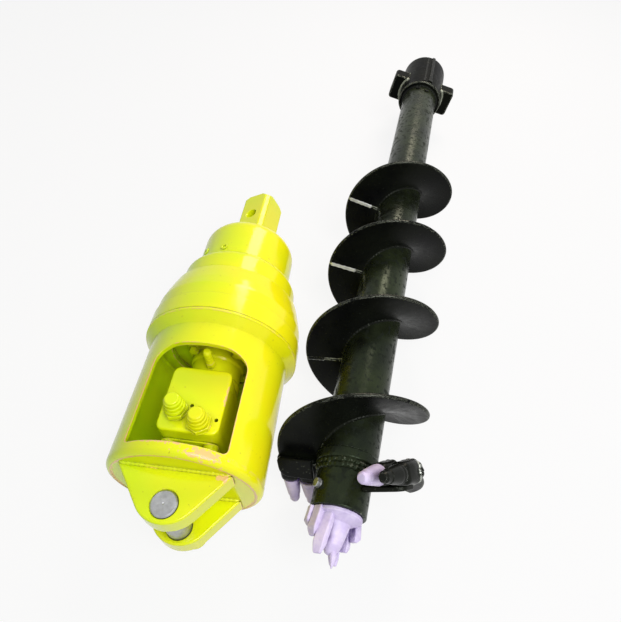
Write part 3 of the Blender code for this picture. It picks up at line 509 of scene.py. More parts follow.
def bareSteel(name, steel):
    # unpainted steel or rubber: grain, stains, dirt in corners, which on the pale tool steel is painted shade
    bend = 2.0 if steel["metal"] else 1.3
    material, tree, shader, place = newMaterial(name, {"Metallic": steel["metal"], "IOR": bend})
    stretched = addNode(tree, "ShaderNodeMapping", {"Vector": place, "Scale": steel["grain"]}).outputs["Vector"]
    grain = noiseNode(tree, stretched, 60.0, 5.0, 0.7)
    stain = rangeNode(tree, noiseNode(tree, place, steel["stainScale"], 4.0, 0.6), 0.40, 0.66)
    colour = mixColour(tree, grain, steel["colour"], steel["second"])
    colour = mixColour(tree, times(tree, stain, steel["stainAmount"]), colour, steel["stain"])
    # corner colour: dirt on the steels and rubber, painted shade on the pale tool steel
    dirtAndShade = useGroup(tree, "dirtAndShade", {"Reach": steel["dirtAndShadeReach"], "Amount": steel["dirtAndShadeAmount"]}, "Mask")
    colour = mixColour(tree, dirtAndShade, colour, steel["dirtAndShade"])
    rough = rangeNode(tree, grain, 0.25, 0.75, steel["roughLow"], steel["roughHigh"])
    joinSurface(tree, shader, colour, rough, steel["bump"], 0.0004, grain)
    return material


# the yellow: its orange second colour, taken on the right side through the lean, is a painted warm light; its dark
# green corner colour is painted shade; its peach bare colour makes the edge chips partly painted edge highlights
limePaint = {"colour": (0.70, 0.97, 0.007, 1), "second": (0.98, 0.92, 0.007, 1), "cloudScale": 7.0, "lean": 3.0,
             "gloss": 0.40, "glossTint": (1.0, 0.52, 0.74, 1), "coat": 0.06, "coatRoughness": 0.04,
             "speck": (0.40, 0.36, 0.02, 1), "speckScale": 150.0, "speckDetail": 2.0, "speckFrom": 0.71,
             "speckAmount": 0.45, "dirtAndShade": (0.07, 0.10, 0.005, 1), "dirtAndShadeReach": 0.018, "dirtAndShadeAmount": 0.85,
             "bare": (0.95, 0.64, 0.24, 1), "bareMetal": 0.0, "wearAndHighlightWidth": 0.0012, "wearAndHighlightAmount": 0.30,
             "wearAndHighlightScale": 120.0, "roughLow": 0.09, "roughHigh": 0.20, "peelScale": 420.0, "waviness": 0.4,
             "bump": 0.16, "speckRough": 0.1}
flightPaint = {"colour": (0.0022, 0.0022, 0.0030, 1), "second": (0.0055, 0.0064, 0.0046, 1), "cloudScale": 9.0,
               "lean": 0.0, "gloss": 0.06, "glossTint": (0.90, 0.96, 0.84, 1), "coat": 0.0, "coatRoughness": 0.1,
               "speck": (0.06, 0.065, 0.05, 1), "speckScale": 230.0, "speckDetail": 2.0, "speckFrom": 0.70,
               "speckAmount": 0.30, "dirtAndShade": (0.010, 0.013, 0.007, 1), "dirtAndShadeReach": 0.016, "dirtAndShadeAmount": 0.7,
               "bare": (0.34, 0.36, 0.29, 1), "bareMetal": 0.5, "wearAndHighlightWidth": 0.0022, "wearAndHighlightAmount": 0.60,
               "wearAndHighlightScale": 150.0, "roughLow": 0.22, "roughHigh": 0.42, "peelScale": 300.0, "waviness": 0.8,
               "bump": 0.35, "speckRough": 0.0}
tubePaint = dict(flightPaint, colour=(0.0055, 0.0064, 0.0042, 1), second=(0.019, 0.025, 0.0105, 1),
                 cloudScale=16.0, gloss=0.22, glossTint=(0.76, 1.0, 0.70, 1), speck=(0.004, 0.0045, 0.0035, 1),
                 speckScale=90.0, speckDetail=5.0, speckFrom=0.56, speckAmount=0.9, wearAndHighlightAmount=0.25,
                 roughLow=0.15, roughHigh=0.36, waviness=1.2, bump=0.5, speckRough=0.35)
pinSteel = {"metal": 0.85, "grain": (1, 1, 1), "colour": (0.26, 0.27, 0.28, 1), "second": (0.60, 0.61, 0.63, 1),
            "stain": (0.22, 0.22, 0.21, 1), "stainScale": 90.0, "stainAmount": 0.55, "dirtAndShade": (0.05, 0.05, 0.04, 1),
            "dirtAndShadeAmount": 0.8, "dirtAndShadeReach": 0.012, "roughLow": 0.28, "roughHigh": 0.50, "bump": 0.35}
# the pale tool steel: its dark violet corner colour is painted shade
toolSteel = {"metal": 0.0, "grain": (1, 1, 1), "colour": (0.70, 0.58, 0.94, 1), "second": (0.92, 0.85, 1.0, 1),
             "stain": (0.36, 0.26, 0.60, 1), "stainScale": 45.0, "stainAmount": 0.30, "dirtAndShade": (0.07, 0.035, 0.18, 1),
             "dirtAndShadeAmount": 1.0, "dirtAndShadeReach": 0.020, "roughLow": 0.24, "roughHigh": 0.46, "bump": 0.4}
gearSteel = {"metal": 0.95, "grain": (1, 9, 1), "colour": (0.34, 0.35, 0.37, 1), "second": (0.52, 0.53, 0.55, 1),
             "stain": (0.20, 0.17, 0.10, 1), "stainScale": 30.0, "stainAmount": 0.35, "dirtAndShade": (0.05, 0.045, 0.03, 1),
             "dirtAndShadeAmount": 0.6, "dirtAndShadeReach": 0.012, "roughLow": 0.26, "roughHigh": 0.44, "bump": 0.25}
bearingSteel = dict(gearSteel, colour=(0.50, 0.51, 0.53, 1), second=(0.66, 0.67, 0.69, 1), roughLow=0.14,
                    roughHigh=0.26)
sealRubber = {"metal": 0.0, "grain": (1, 1, 1), "colour": (0.018, 0.018, 0.018, 1), "second": (0.035, 0.034, 0.032, 1),
              "stain": (0.06, 0.055, 0.04, 1), "stainScale": 40.0, "stainAmount": 0.4, "dirtAndShade": (0.07, 0.065, 0.05, 1),
              "dirtAndShadeAmount": 0.5, "dirtAndShadeReach": 0.012, "roughLow": 0.55, "roughHigh": 0.75, "bump": 0.4}

# painted highlight patches on the yellow paint: centre and half sizes in the row's frame, and how ragged the edge is
paintedHighlightSpots = {"sill": ((0.052, -0.7135, 0.124), (0.046, 0.011, 0.034), 1.0),
          "sillLeft": ((-0.02, -0.7045, 0.131), (0.06, 0.0035, 0.02), 1.3),
          "blockEdge": ((0.0525, -0.594, 0.080), (0.0050, 0.036, 0.0050), 1.1),
          "earCorner": ((0.078, -0.7300, 0.078), (0.018, 0.006, 0.006), 1.2)}
yellow = paintedMetal("limeYellowPaint", limePaint)
# the bell: a wider, darker green corner colour, painted shade inside the window and in its corners; stronger peach edge
# chips, partly painted highlight along the window's rim; and two painted highlight patches on the sill
bellYellow = paintedMetal("limeYellowBell", dict(limePaint, dirtAndShadeReach=0.050, dirtAndShade=(0.035, 0.06, 0.003, 1),
                                                 wearAndHighlightWidth=0.0022, wearAndHighlightAmount=0.52),
                          [paintedHighlightSpots["sill"], paintedHighlightSpots["sillLeft"]])
# the block: stronger peach edge chips, partly painted highlight, and a painted highlight patch along its right top
# edge; the ear: a painted highlight patch at the upper ear's corner by the end plate
blockYellow = paintedMetal("limeYellowBlock", dict(limePaint, wearAndHighlightAmount=0.42), [paintedHighlightSpots["blockEdge"]])
earYellow = paintedMetal("limeYellowEar", limePaint, [paintedHighlightSpots["earCorner"]])
black = paintedMetal("glossBlackPaint", flightPaint)
tubeBlack = paintedMetal("oliveBlackPaint", tubePaint)
hubBlack = paintedMetal("hubBlackPaint", dict(flightPaint, gloss=0.03, wearAndHighlightWidth=0.0032, wearAndHighlightAmount=0.62,
                                              bump=0.7, waviness=1.8))
holderBlack = paintedMetal("holderBlackPaint", dict(flightPaint, gloss=0.12, wearAndHighlightAmount=0.10, bump=0.7, waviness=1.6))
chippedBlack = paintedMetal("chippedBlackPaint", dict(flightPaint, gloss=0.12, wearAndHighlightWidth=0.003, wearAndHighlightAmount=0.28,
                                                      bump=0.5, bare=(0.46, 0.48, 0.44, 1)))
weldBlack = paintedMetal("weldBlackPaint", dict(flightPaint, wearAndHighlightAmount=0.0, speck=(0.10, 0.11, 0.09, 1),
                                                speckFrom=0.66, speckAmount=0.6, dirtAndShadeAmount=0.3, gloss=0.10,
                                                bump=0.6))
roughWeld = paintedMetal("roughWeldPaint", dict(tubePaint, wearAndHighlightAmount=0.0, speck=(0.14, 0.15, 0.11, 1),
                                                speckScale=160.0, speckFrom=0.58, speckAmount=0.8,
                                                dirtAndShadeAmount=0.3, gloss=0.16, bump=0.9))
silver = bareSteel("turnedPinSteel", pinSteel)
seamSteel = bareSteel("groundSeamSteel", dict(pinSteel, colour=(0.62, 0.63, 0.60, 1),
                                              second=(0.88, 0.89, 0.86, 1), stainAmount=0.35, dirtAndShadeAmount=0.2,
                                              metal=0.4))
pale = bareSteel("paleToolSteel", toolSteel)
finishes = {"yellow_paint": yellow, "black_paint": black, "bright_steel": silver, "pale_tool_steel": pale,
            "gear_steel": bareSteel("oiledGearSteel", gearSteel),
            "bearing_steel": bareSteel("bearingSteel", bearingSteel),
            "seal_rubber": bareSteel("sealRubber", sealRubber)}
slotOfNode = {row["node"]: row["material_slot"] for row in frame["record"]["subparts"]}
for nodeName, node in frame["nodes"].items():
    node.data.materials.clear()
    node.data.materials.append(finishes[slotOfNode[nodeName]])
print("materials made")


def drivePiece(name, shells, material, node):
    # a piece of the drive that stands still
    makePiece(name, shells, toDrive, material, "drive_body", [node])


def augerPiece(name, shells, material, node=None, sharp=32.0):
    # a piece that stays with the auger
    makePiece(name, shells, toAuger, material, "auger", [node] if node else (), sharp)


# Bell

bellSize = {"radius": 0.133, "wall": 0.010, "length": 0.268, "flange": 0.150, "flangeLow": 0.006,
            "flareLow": 0.022, "endRound": 0.011, "windowHalf": 0.0818, "windowTop": 0.0657, "windowLow": 0.2466,
            "topRound": (0.046, 0.030), "lowRound": 0.008, "lip": 0.0011, "columns": 200, "sideRows": 20,
            "innerFlange": 0.096, "innerFlangeLow": 0.012}


def windowOutline(size, grow):
    # the window seen from above: (right, along), elliptic upper corners and small lower ones
    half, top, low = size["windowHalf"] + grow, -size["windowTop"] + grow, -size["windowLow"] - grow
    wide, tall = size["topRound"]
    small = size["lowRound"] + grow
    turn = np.linspace(0.0, pi / 2, 24)
    right = np.column_stack([half - wide + wide * np.cos(turn), top - tall + tall * np.sin(turn)])
    corner = np.column_stack([half - small + small * np.sin(turn), low + small - small * np.cos(turn)])
    side = np.concatenate([corner, right])
    return resample(np.concatenate([side, side[::-1] * np.array((-1.0, 1.0))]), 900)


def rayOutline(outline, centre, directions):
    # where rays at the given angles from the centre meet an outline
    away = outline - centre
    angles = np.unwrap(np.arctan2(away[:, 1], away[:, 0]))
    order = np.argsort(angles)
    angles, away = angles[order], away[order]
    radius = np.linalg.norm(away, axis=1)
    angles = np.concatenate([angles - 2 * pi, angles, angles + 2 * pi])
    inverse = np.interp(directions, angles, np.tile(1 / radius, 3))
    return centre + np.column_stack([np.cos(directions), np.sin(directions)]) / inverse[:, None]


def makeBell(size):
    # the tube unrolled to (turn, along), meshed in rings from the window out to a rectangle, then rolled up
    outer, inner = size["radius"], size["radius"] - size["wall"]
    top, low = -size["flareLow"], -size["length"] + size["endRound"]
    centre = np.array((0.0, -(size["windowTop"] + size["windowLow"]) / 2))
    turns = np.linspace(-pi, pi, size["columns"] + 1)
    heights = np.linspace(top, low, size["sideRows"] + 1)[1:-1]
    upper = np.column_stack([turns, np.full(len(turns), top)])
    lower = np.column_stack([turns[::-1], np.full(len(turns), low)])
    right = np.column_stack([np.full(len(heights), pi), heights])
    left = np.column_stack([np.full(len(heights), -pi), heights[::-1]])
    rim = np.concatenate([upper, right, lower, left])
    squeeze = 0.045
    directions = np.arctan2(rim[:, 1] - centre[1], rim[:, 0] * squeeze)
    share = unit(34)[:, None, None] ** 1.25
    lip = size["lip"]
    rows = []
    for radius, flip in ((outer, False), (inner, True)):
        edge = rayOutline(windowOutline(size, lip), centre, directions)
        start = np.column_stack([np.arcsin(edge[:, 0] / radius), edge[:, 1]])
        flat = start[None] * (1 - share) + rim[None] * share
        shell = np.stack([radius * np.sin(flat[..., 0]), flat[..., 1], radius * np.cos(flat[..., 0])], axis=-1)
        rows.append(shell[::-1] if not flip else shell)
    walls = []
    for depth, grow in ((0.3, 0.28), (1.0, 0.0), (size["wall"] / lip - 1.0, 0.0), (size["wall"] / lip - 0.3, 0.28)):
        radius = outer - depth * lip
        edge = rayOutline(windowOutline(size, grow * lip), centre, directions)
        turn = np.arcsin(edge[:, 0] / radius)
        walls.append(np.stack([radius * np.sin(turn), edge[:, 1], radius * np.cos(turn)], axis=-1))
    tube = gridShell(np.concatenate([rows[0], np.array(walls), rows[1]]))
    flareTop = -size["flangeLow"]
    collar = fillets([(outer, top, 0), (outer + 0.004, top + 0.004, 0.006), (size["flange"] - 0.002, flareTop, 0.004),
                      (size["flange"], flareTop + 0.001, 0.001), (size["flange"], -0.0003, 0.0013),
                      (size["innerFlange"], -0.0003, 0.001), (size["innerFlange"], -size["innerFlangeLow"], 0.001),
                      (inner, -size["innerFlangeLow"], 0.004), (inner, top, 0)])
    heel = fillets([(outer, low, 0), (outer, -size["length"], size["endRound"]), (inner, -size["length"], 0.001),
                    (inner, low, 0)], 8)

    def rolled(profile):  # the profile at each of the rectangle's own turns, so that the seams meet
        radius, along = profile[None, :, 0], profile[None, :, 1]
        turn = turns[:, None]
        return gridShell(np.stack([radius * np.sin(turn), along + 0 * turn, radius * np.cos(turn)], axis=-1),
                         closeColumns=False)

    drivePiece("bellShell", [tube, rolled(collar), rolled(heel)], bellYellow, "bell_housing")


makeBell(bellSize)

endSize = {"radius": 0.1228, "thickness": 0.020, "ring": 0.0036}


def makeEndPlate(size):
    # the disc that closes the bell, and the weld ring where it meets the bell's wall
    face = -bellSize["length"]
    disc = lathe(fillets([(0.0, face + size["thickness"], 0), (size["radius"], face + size["thickness"], 0.001),
                          (size["radius"], face + 0.0012, 0.001), (0.0, face + 0.0012, 0)]))
    path = around(size["radius"], face + 0.0019, circle(720))
    ring = bead(path, np.tile((0.0, -1.0, 0.0), (720, 1)), size["ring"], 0.007, closed=True, flat=0.45)
    drivePiece("endPlate", [disc, ring], yellow, "end_plate")


makeEndPlate(endSize)

earSize = {"gap": 0.076, "thickness": 0.040, "baseHalf": 0.092, "reach": 0.083, "tip": 0.055, "edge": 0.0035,
           "pinAlong": -0.3217, "pin": 0.021, "weld": 0.0032}


def earOutline(size):
    # a wide base whose straight sides touch a round tip: (right, along)
    base = -bellSize["length"] - slack
    middle = -bellSize["length"] - size["reach"] + size["tip"]
    reach = np.hypot(size["baseHalf"], base - middle)
    lean = np.arctan2(base - middle, size["baseHalf"]) - np.arccos(size["tip"] / reach)
    turn = np.linspace(2 * pi + lean, pi - lean, 90)
    tip = np.column_stack([size["tip"] * np.cos(turn), middle + size["tip"] * np.sin(turn)])
    return resample(np.concatenate([[(size["baseHalf"], base)], tip, [(-size["baseHalf"], base)]]), 320)


def makeEars(size):
    # each ear is its outline carried through its thickness, with a weld along both edges of its base
    outline = earOutline(size)
    hole = roundHole(outline, size["pin"] + 0.0004, (0.0, size["pinAlong"]))
    for name, side, node in (("upperEar", 1, "upper_ear"), ("lowerEar", -1, "lower_ear")):
        near = side * size["gap"] / 2
        far = side * (size["gap"] / 2 + size["thickness"])
        shells = [plate(outline, min(near, far), max(near, far), size["edge"], hole, 5, 0.0014)]
        face = -bellSize["length"] + 0.0004
        across = np.linspace(-size["baseHalf"] + 0.002, size["baseHalf"] - 0.002, 240)
        for level, tilt in ((near, -side), (far, side)):
            path = np.column_stack([across, np.full(240, face), np.full(240, level)])
            normal = np.array((0.0, -1.0, float(tilt))) / sqrt(2)
            shells.append(bead(path, np.tile(normal, (240, 1)), size["weld"], 0.0075, flat=0.75))
        drivePiece(name, shells, earYellow, node)


makeEars(earSize)

pinSize = {"radius": 0.0209, "top": 0.0800, "low": -0.0778, "chamfer": 0.0022, "centre": 0.0016}


def makePin(size):
    # a turned pin with chamfered ends and a small centre drilled in its face
    profile = fillets([(0.0, size["top"] - 0.0016, 0), (size["centre"], size["top"] - 0.0002, 0.0002),
                       (size["centre"] + 0.0003, size["top"], 0.0002),
                       (size["radius"] - size["chamfer"], size["top"], 0.0005),
                       (size["radius"], size["top"] - size["chamfer"], 0.0005),
                       (size["radius"], size["low"] + size["chamfer"], 0.0005),
                       (size["radius"] - size["chamfer"], size["low"], 0.0005), (0.0, size["low"], 0)], 3)
    shell = standing(spindle(profile, 96), (0.0, earSize["pinAlong"], 0.0), (0, 0, 1))
    makePiece("hitchPin", [shell], toDrive, silver, "hitch_pin", ["hitch_pin"])


makePin(pinSize)

keeperSize = {"half": 0.019, "radius": 0.022, "top": -0.0783, "low": -0.0863, "flats": 0.0145, "head": 0.0065,
              "washer": 0.0089}


def makeKeeper(size):
    # a plate with half round ends and three hexagon bolts on washers
    turn = np.linspace(-pi / 2, pi / 2, 24)
    right = np.column_stack([size["half"] + size["radius"] * np.cos(turn), size["radius"] * np.sin(turn)])
    outline = resample(np.concatenate([right, -right]), 160)
    shells = [plate(outline + np.array((0.0, earSize["pinAlong"])), size["low"], size["top"], 0.0012)]
    for place in (-size["half"], 0.0, size["half"]):
        head = plate(hexagon(size["flats"]), 0.0, size["head"], 0.0009)
        ring = washer(size["washer"], -0.0003, 0.0016, 0.0004, 36)
        shells += stood((head, ring), (place, earSize["pinAlong"], size["low"]), (0, 0, -1))
    drivePiece("pinStopPlate", shells, yellow, "pin_keeper_plate")


makeKeeper(keeperSize)
print("bell and hitch made")

# Gearbox casings

casingSize = {"flange": 0.150, "front": 0.036, "body": 0.147, "straightEnd": 0.0633, "shoulder": 0.1208, "step": 0.1203,
              "shoulderEnd": 0.1683, "nose": 0.101, "noseBack": 0.1884, "noseFace": 0.3019, "noseRound": 0.034,
              "noseBore": 0.058, "noseInner": 0.2867, "cover": 0.060, "coverFace": 0.3232, "journal": 0.0482,
              "adapterBore": (0.030, 0.042, 0.0085), "bodyBore": 0.1085, "throat": 0.092, "bodyFace": 0.1886,
              "neck": 0.1862, "shelf": 0.158, "noseRoom": 0.088,
              "taper": ((0.1305, 0.1203, 0.002), (0.1335, 0.1172, 0.003), (0.1378, 0.102, 0.03),
                        (0.1427, 0.0835, 0.04))}


def makeCasings(size):
    # turned profiles: the adapter ring, the tapered barrel with its shoulder, the nose, and the seal's cover
    back, front = slack, size["front"]
    small, wide, lip = size["adapterBore"]
    ring = turned([(small, front, 0), (size["flange"], front, 0.0018), (size["flange"], back, 0.0018),
                   (wide, back, 0), (wide, lip, 0), (small, lip, 0)], 5, 200)
    drivePiece("adapterRing", [ring], yellow, "adapter_plate")
    bore, throat, bodyBack = size["bodyBore"], size["throat"], front + slack
    body = turned([(throat, size["bodyFace"], 0), (size["nose"] + 0.0006, size["bodyFace"], 0.0008),
                   (size["nose"] + 0.004, size["neck"], 0.003), (size["shoulder"], size["shoulderEnd"], 0.016),
                   (size["shoulder"], size["step"] + 0.0004, 0.0026), *size["taper"],
                   (size["body"], size["straightEnd"], 0.03), (size["body"], bodyBack, 0.0016),
                   (bore, bodyBack, 0), (bore, size["shelf"], 0), (throat, size["shelf"], 0)], 8, 200)
    drivePiece("gearHousing", [body], yellow, "gear_housing")
    inner, room, face = size["noseBore"], size["noseRoom"], size["noseFace"]
    nose = turned([(inner, face, 0.001), (size["nose"], face, size["noseRound"]),
                   (size["nose"], size["noseBack"] + 0.0002, 0.001), (room, size["noseBack"] + 0.0002, 0),
                   (room, size["noseInner"], 0), (inner, size["noseInner"], 0)], 14, 200)
    drivePiece("noseHousing", [nose], yellow, "output_housing")
    cover = turned([(size["journal"], size["coverFace"], 0.0006), (size["cover"], size["coverFace"], 0.002),
                    (size["cover"], face + slack, 0), (size["journal"], face + slack, 0)], 5)
    drivePiece("sealCover", [cover], yellow, "seal_cover")


makeCasings(casingSize)

plugSize = {"radius": 0.0083, "head": 0.0022, "socket": 0.0035,
            "places": (("levelPlug", 139.0, 0.2144, "oil_level_plug"), ("fillPlug", 107.0, 0.2044, "oil_filler_plug"))}


def makePlugs(size):
    # a low round head with a hexagon socket, screwed flush into the nose
    for name, turn, along, node in size["places"]:
        outward = spoke(radians(turn))
        place = offAxis(outward, casingSize["nose"], along)
        loop = resample(size["radius"] * np.column_stack([np.cos(circle(48)), np.sin(circle(48))]), 48)
        head = plate(loop, -0.0055, size["head"], 0.0006, hexagon(size["socket"] * 2, 48))
        floor = plate(hexagon(size["socket"] * 2 + 0.0006, 48), -0.0050, -0.0024, 0.0001)
        shells = stood((head, floor), place, outward, (0, 1, 0))
        drivePiece(name, shells, yellow, node)


makePlugs(plugSize)

shaftSize = {"journal": 0.047, "step": 0.059, "base": 0.1570, "seat": 0.1924, "squareStart": 0.3317,
             "half": 0.0375, "roll": 26.0, "tip": 0.4562, "cone": 0.008, "coneDrop": 0.005, "hole": 0.013,
             "holeBack": 0.069, "flare": 0.0055, "edge": 0.0010, "crisp": 90.0}


def makeShaft(size):
    # a turned bar milled to a square: the distance from the axis is the smaller of the bar's radius and the square's
    share = np.linspace(0.0, 1.0, 480, endpoint=False)
    turn = 2 * pi * share
    square = 1 / np.maximum(np.abs(np.cos(turn)), np.abs(np.sin(turn)))
    rows = []

    def addRow(along, bar, half=None):  # the smaller of two radii, as a sum of very high powers
        reach = np.full(480, bar)
        if half is not None:
            reach = (reach ** -size["crisp"] + (half * square) ** -size["crisp"]) ** (-1 / size["crisp"])
        rows.append(np.column_stack([reach * np.cos(turn), reach * np.sin(turn), np.full(480, along)]))

    for radius, along in ((0.001, "base"), (size["step"], "base"), (size["step"], "seat"), (size["journal"], "seat")):
        addRow(size[along], radius)
    start, tip, edge, journal, half = size["squareStart"], size["tip"], size["edge"], size["journal"], size["half"]
    addRow(start - edge, journal)
    addRow(start - edge * 0.3, journal - edge * 0.2)
    addRow(start, journal - edge * 0.8, half + 0.0022)
    for back in (0.0, 0.001, 0.003):
        addRow(start + back, journal, half + 0.0012 * (1 - back / 0.003) ** 2)
    for along in np.linspace(start + 0.006, tip - size["cone"], 14):
        addRow(along, journal, half)
    for part in np.linspace(0.15, 1.0, 5):
        addRow(tip - size["cone"] + (size["cone"] - edge) * part, journal - size["coneDrop"] * part, half)
    for drop, along in ((0.3, 0.3), (1.0, 0.0), (1.6, 0.0)):
        addRow(tip - edge * along, journal - size["coneDrop"] - edge * drop, half - edge * drop)
    bar = gridShell(np.array(rows), capEnds=True)
    roll = radians(size["roll"])
    bar = standing(bar, (0, 0, 0), (0, 1, 0), spoke(roll))
    outward = np.array((-sin(roll), 0.0, cos(roll)))
    reach = half + 0.004
    tool = spindle([(0.0, reach), (size["hole"] + size["flare"], reach), (size["hole"], half - 0.0012),
                    (size["hole"], -half + 0.0012), (size["hole"] + size["flare"], -reach), (0.0, -reach)], 64)
    tool = standing(tool, (0.0, tip - size["holeBack"], 0.0), outward, (0, 1, 0))
    mesh = carve("outputShaft", [bar], [tool], toDrive)
    makePiece("outputShaft", mesh, toDrive, yellow, "output", ["output_shaft"], 24.0)


makeShaft(shaftSize)
print("gearbox made")

# Motor behind the window

motorSize = {"flange": 0.112, "flangeThick": 0.020, "radius": 0.051, "length": 0.065, "spigot": 0.041,
             "bolt": 0.0165, "washer": 0.0108, "inset": 0.014, "blockWide": 0.106, "blockLong": 0.1215,
             "top": 0.080, "low": -0.053, "round": 0.013, "screwHole": 0.0031, "cover": 0.100,
             "coverPlate": 0.0035, "coverThick": 0.012, "coverInset": 0.013,
             "drills": ((-0.002, -0.159), (0.045, -0.180)), "boss": (0.0128, 0.0124), "coverBolt": 0.019,
             "coverHead": 0.0083, "waist": ((0.0, -0.036, 0.003), (0.003, -0.040, 0.002), (0.003, -0.068, 0.002),
                                            (0.0, -0.072, 0.003))}


def makeMotor(size):
    # a turned body and a square flange with four bolts, the drilled block, and the thin cover on four bosses
    low = -size["flangeThick"] - size["length"]
    waist = [(size["radius"] - drop, along, bend) for drop, along, bend in size["waist"]]
    body = lathe(fillets([(0.0, 0.0080, 0), (size["spigot"], 0.0080, 0.0006), (size["spigot"], -0.002, 0),
                          (size["radius"], -0.002, 0), *waist, (size["radius"], low + 0.0004, 0.001),
                          (0.0, low + 0.0004, 0)], 5))
    flange = plate(roundedBox(size["flange"], size["flange"], 0.018), -size["flangeThick"], -0.0004, 0.0022)
    shells = [body, standing(flange, (0, 0, 0), (0, 1, 0))]
    for x, z in fourPlaces(size["flange"] / 2 - size["inset"]):
        head = plate(hexagon(size["bolt"]), 0.0016, 0.010, 0.0009)
        ring = washer(size["washer"], -0.0003, 0.0017, 0.0003, 32)
        shells += stood((head, ring), (x, -size["flangeThick"], z), (0, -1, 0))
    drivePiece("motorBody", shells, yellow, "motor_body")
    blockEnd = low - size["blockLong"]
    outline = roundedBox(size["blockWide"], size["blockLong"], size["round"], 144, (0.0, (low + blockEnd) / 2))
    block = [plate(outline, size["low"], size["top"], 0.0042, steps=5)]
    drills = []
    for x, along in size["drills"]:
        bore = size["screwHole"]
        drill = spindle([(0.0, 0.001), (bore + 0.0014, 0.001), (bore, -0.0006), (bore, -0.016), (0.0, -0.0175)], 28)
        drills.append(standing(drill, (x, along, size["top"]), (0, 0, 1)))
    mesh = carve("portBlock", block, drills, toDrive)
    drivePiece("portBlock", mesh, blockYellow, "port_block")
    cover = plate(roundedBox(size["cover"], size["cover"], 0.016), 0.0003, size["coverPlate"], 0.0010)
    shells = [standing(cover, (0, blockEnd, 0), (0, -1, 0))]
    foot, top = size["boss"]
    for x, z in fourPlaces(size["cover"] / 2 - size["coverInset"]):
        boss = spindle(fillets([(0.0, size["coverPlate"] - 0.001, 0), (foot, size["coverPlate"] - 0.001, 0),
                                (top, size["coverThick"], 0.0012), (0.0, size["coverThick"], 0)], 4), 40)
        head = plate(hexagon(size["coverBolt"]), 0.0, size["coverHead"], 0.001)
        shells.append(standing(boss, (x, blockEnd, z), (0, -1, 0)))
        shells.append(standing(head, (x, blockEnd - size["coverThick"], z), (0, -1, 0)))
    drivePiece("rearCover", shells, yellow, "rear_cover")


makeMotor(motorSize)

portSize = {"places": ((-0.025, -0.171), (0.020, -0.191)), "hexTurns": (12.0, 31.0), "hex": 0.0366,
            "hexHigh": 0.0118, "foot": 0.0193, "neck": 0.0093, "neckHigh": 0.0355, "capLow": 0.0127,
            "cap": 0.018, "capTop": 0.0136, "capHigh": 0.0298, "ribs": 3, "rib": 0.0020, "crown": 0.0032,
            "drainAlong": -0.058, "drain": 0.008, "drainFoot": 0.047, "drainHigh": 0.050, "drainLow": 0.014,
            "drainRibs": (4, 0.0013, 0.0030), "drainNut": 0.0158}


def ribbedProfile(wide, narrow, low, high, ribs, depth, crown):
    # rings that widen downwards under a domed top, with a narrow groove between them: (radius, height) from the top
    turn = np.linspace(pi / 2, 0.0, 9)
    dome = np.column_stack([narrow - depth * 0.6 - crown + crown * np.cos(turn), high - crown + crown * np.sin(turn)])
    run = unit(26 * ribs)
    phase = np.mod(run * ribs * 0.9999, 1.0)
    ease = np.clip(phase / 0.34, 0.0, 1.0)
    groove = (1 - ease * ease * (3 - 2 * ease)) + np.clip((phase - 0.86) / 0.14, 0.0, 1.0) ** 2
    flare = (wide - narrow) * (np.floor(run * ribs * 0.9999) + 0.4 + 0.6 * phase) / ribs
    body = np.column_stack([narrow + flare - depth * groove, high - crown - (high - crown - low) * run])
    body[:, 0] = np.minimum(body[:, 0], wide)
    return np.concatenate([[(0.0, high)], dome, body, [(wide * 0.97, low), (0.0, low)]])


def makePorts(size):
    # two hexagon fittings under ribbed caps that lift off, and the drain fitting
    for number, (x, along) in enumerate(size["places"]):
        letter = "ab"[number]
        base = (x, along, motorSize["top"])
        foot = washer(size["foot"], 0.0003, 0.0022, 0.0006, foot=0.0005)
        nut = plate(hexagon(size["hex"], 72, size["hexTurns"][number]), 0.0018, size["hexHigh"], 0.0013)
        neck = spindle([(0.0, size["neckHigh"]), (size["neck"], size["neckHigh"]), (size["neck"], 0.004), (0.0, 0.004)])
        shells = stood((foot, nut, neck), base, (0, 0, 1))
        drivePiece("portFitting_" + letter, shells, blockYellow, "port_fitting_" + letter)
        profile = ribbedProfile(size["cap"], size["capTop"], size["capLow"], size["capLow"] + size["capHigh"],
                                size["ribs"], size["rib"], size["crown"])
        cap = standing(spindle(profile, 72), base, (0, 0, 1))
        makePiece("portCap_" + letter, [cap], toDrive, yellow, "port_cap_" + letter,
                  ["port_cap_" + letter])
    profile = ribbedProfile(size["drain"], size["drain"] * 0.96, size["drainLow"], size["drainHigh"],
                            *size["drainRibs"])
    place = (0.0, size["drainAlong"], size["drainFoot"])
    nut = plate(hexagon(size["drainNut"], 48, 9.0), -0.001, size["drainLow"] + 0.0005, 0.0008)
    shells = stood((spindle(profile, 48), nut), place, (0, 0, 1))
    drivePiece("drainFitting", shells, yellow, "drain_fitting")


makePorts(portSize)
print("motor made")

# Auger

hubSize = {"radius": 0.067, "start": 0.861, "end": 1.032, "seat": 0.018, "socket": 0.0383, "depth": 0.136,
           "lugReach": 0.0325, "lugWide": 0.080, "lugDeep": 0.040, "lugAlong": 0.921, "lugRoll": 13.0,
           "bars": ((70.0, 0.0050, 0.0042), (85.0, 0.0022, 0.0012)), "tacks": ((101.0, 0.8480), (71.0, 0.8400)),
           "seamWeld": 0.0062, "lugWeld": 0.0048, "lugRound": 0.010}
tubeSize = {"radius": 0.052, "low": -0.3775, "top": 0.8785, "collar": 0.056, "collarHigh": 0.019, "barrel": 0.048,
            "barrelTop": -0.3971, "barrelLow": -0.4751, "wall": 0.008, "boltTurn": 146.0, "boltUp": 0.034,
            "barrelWelds": ((-0.3992, 0.0497, 0.0060), (-0.4078, 0.0486, 0.0054))}


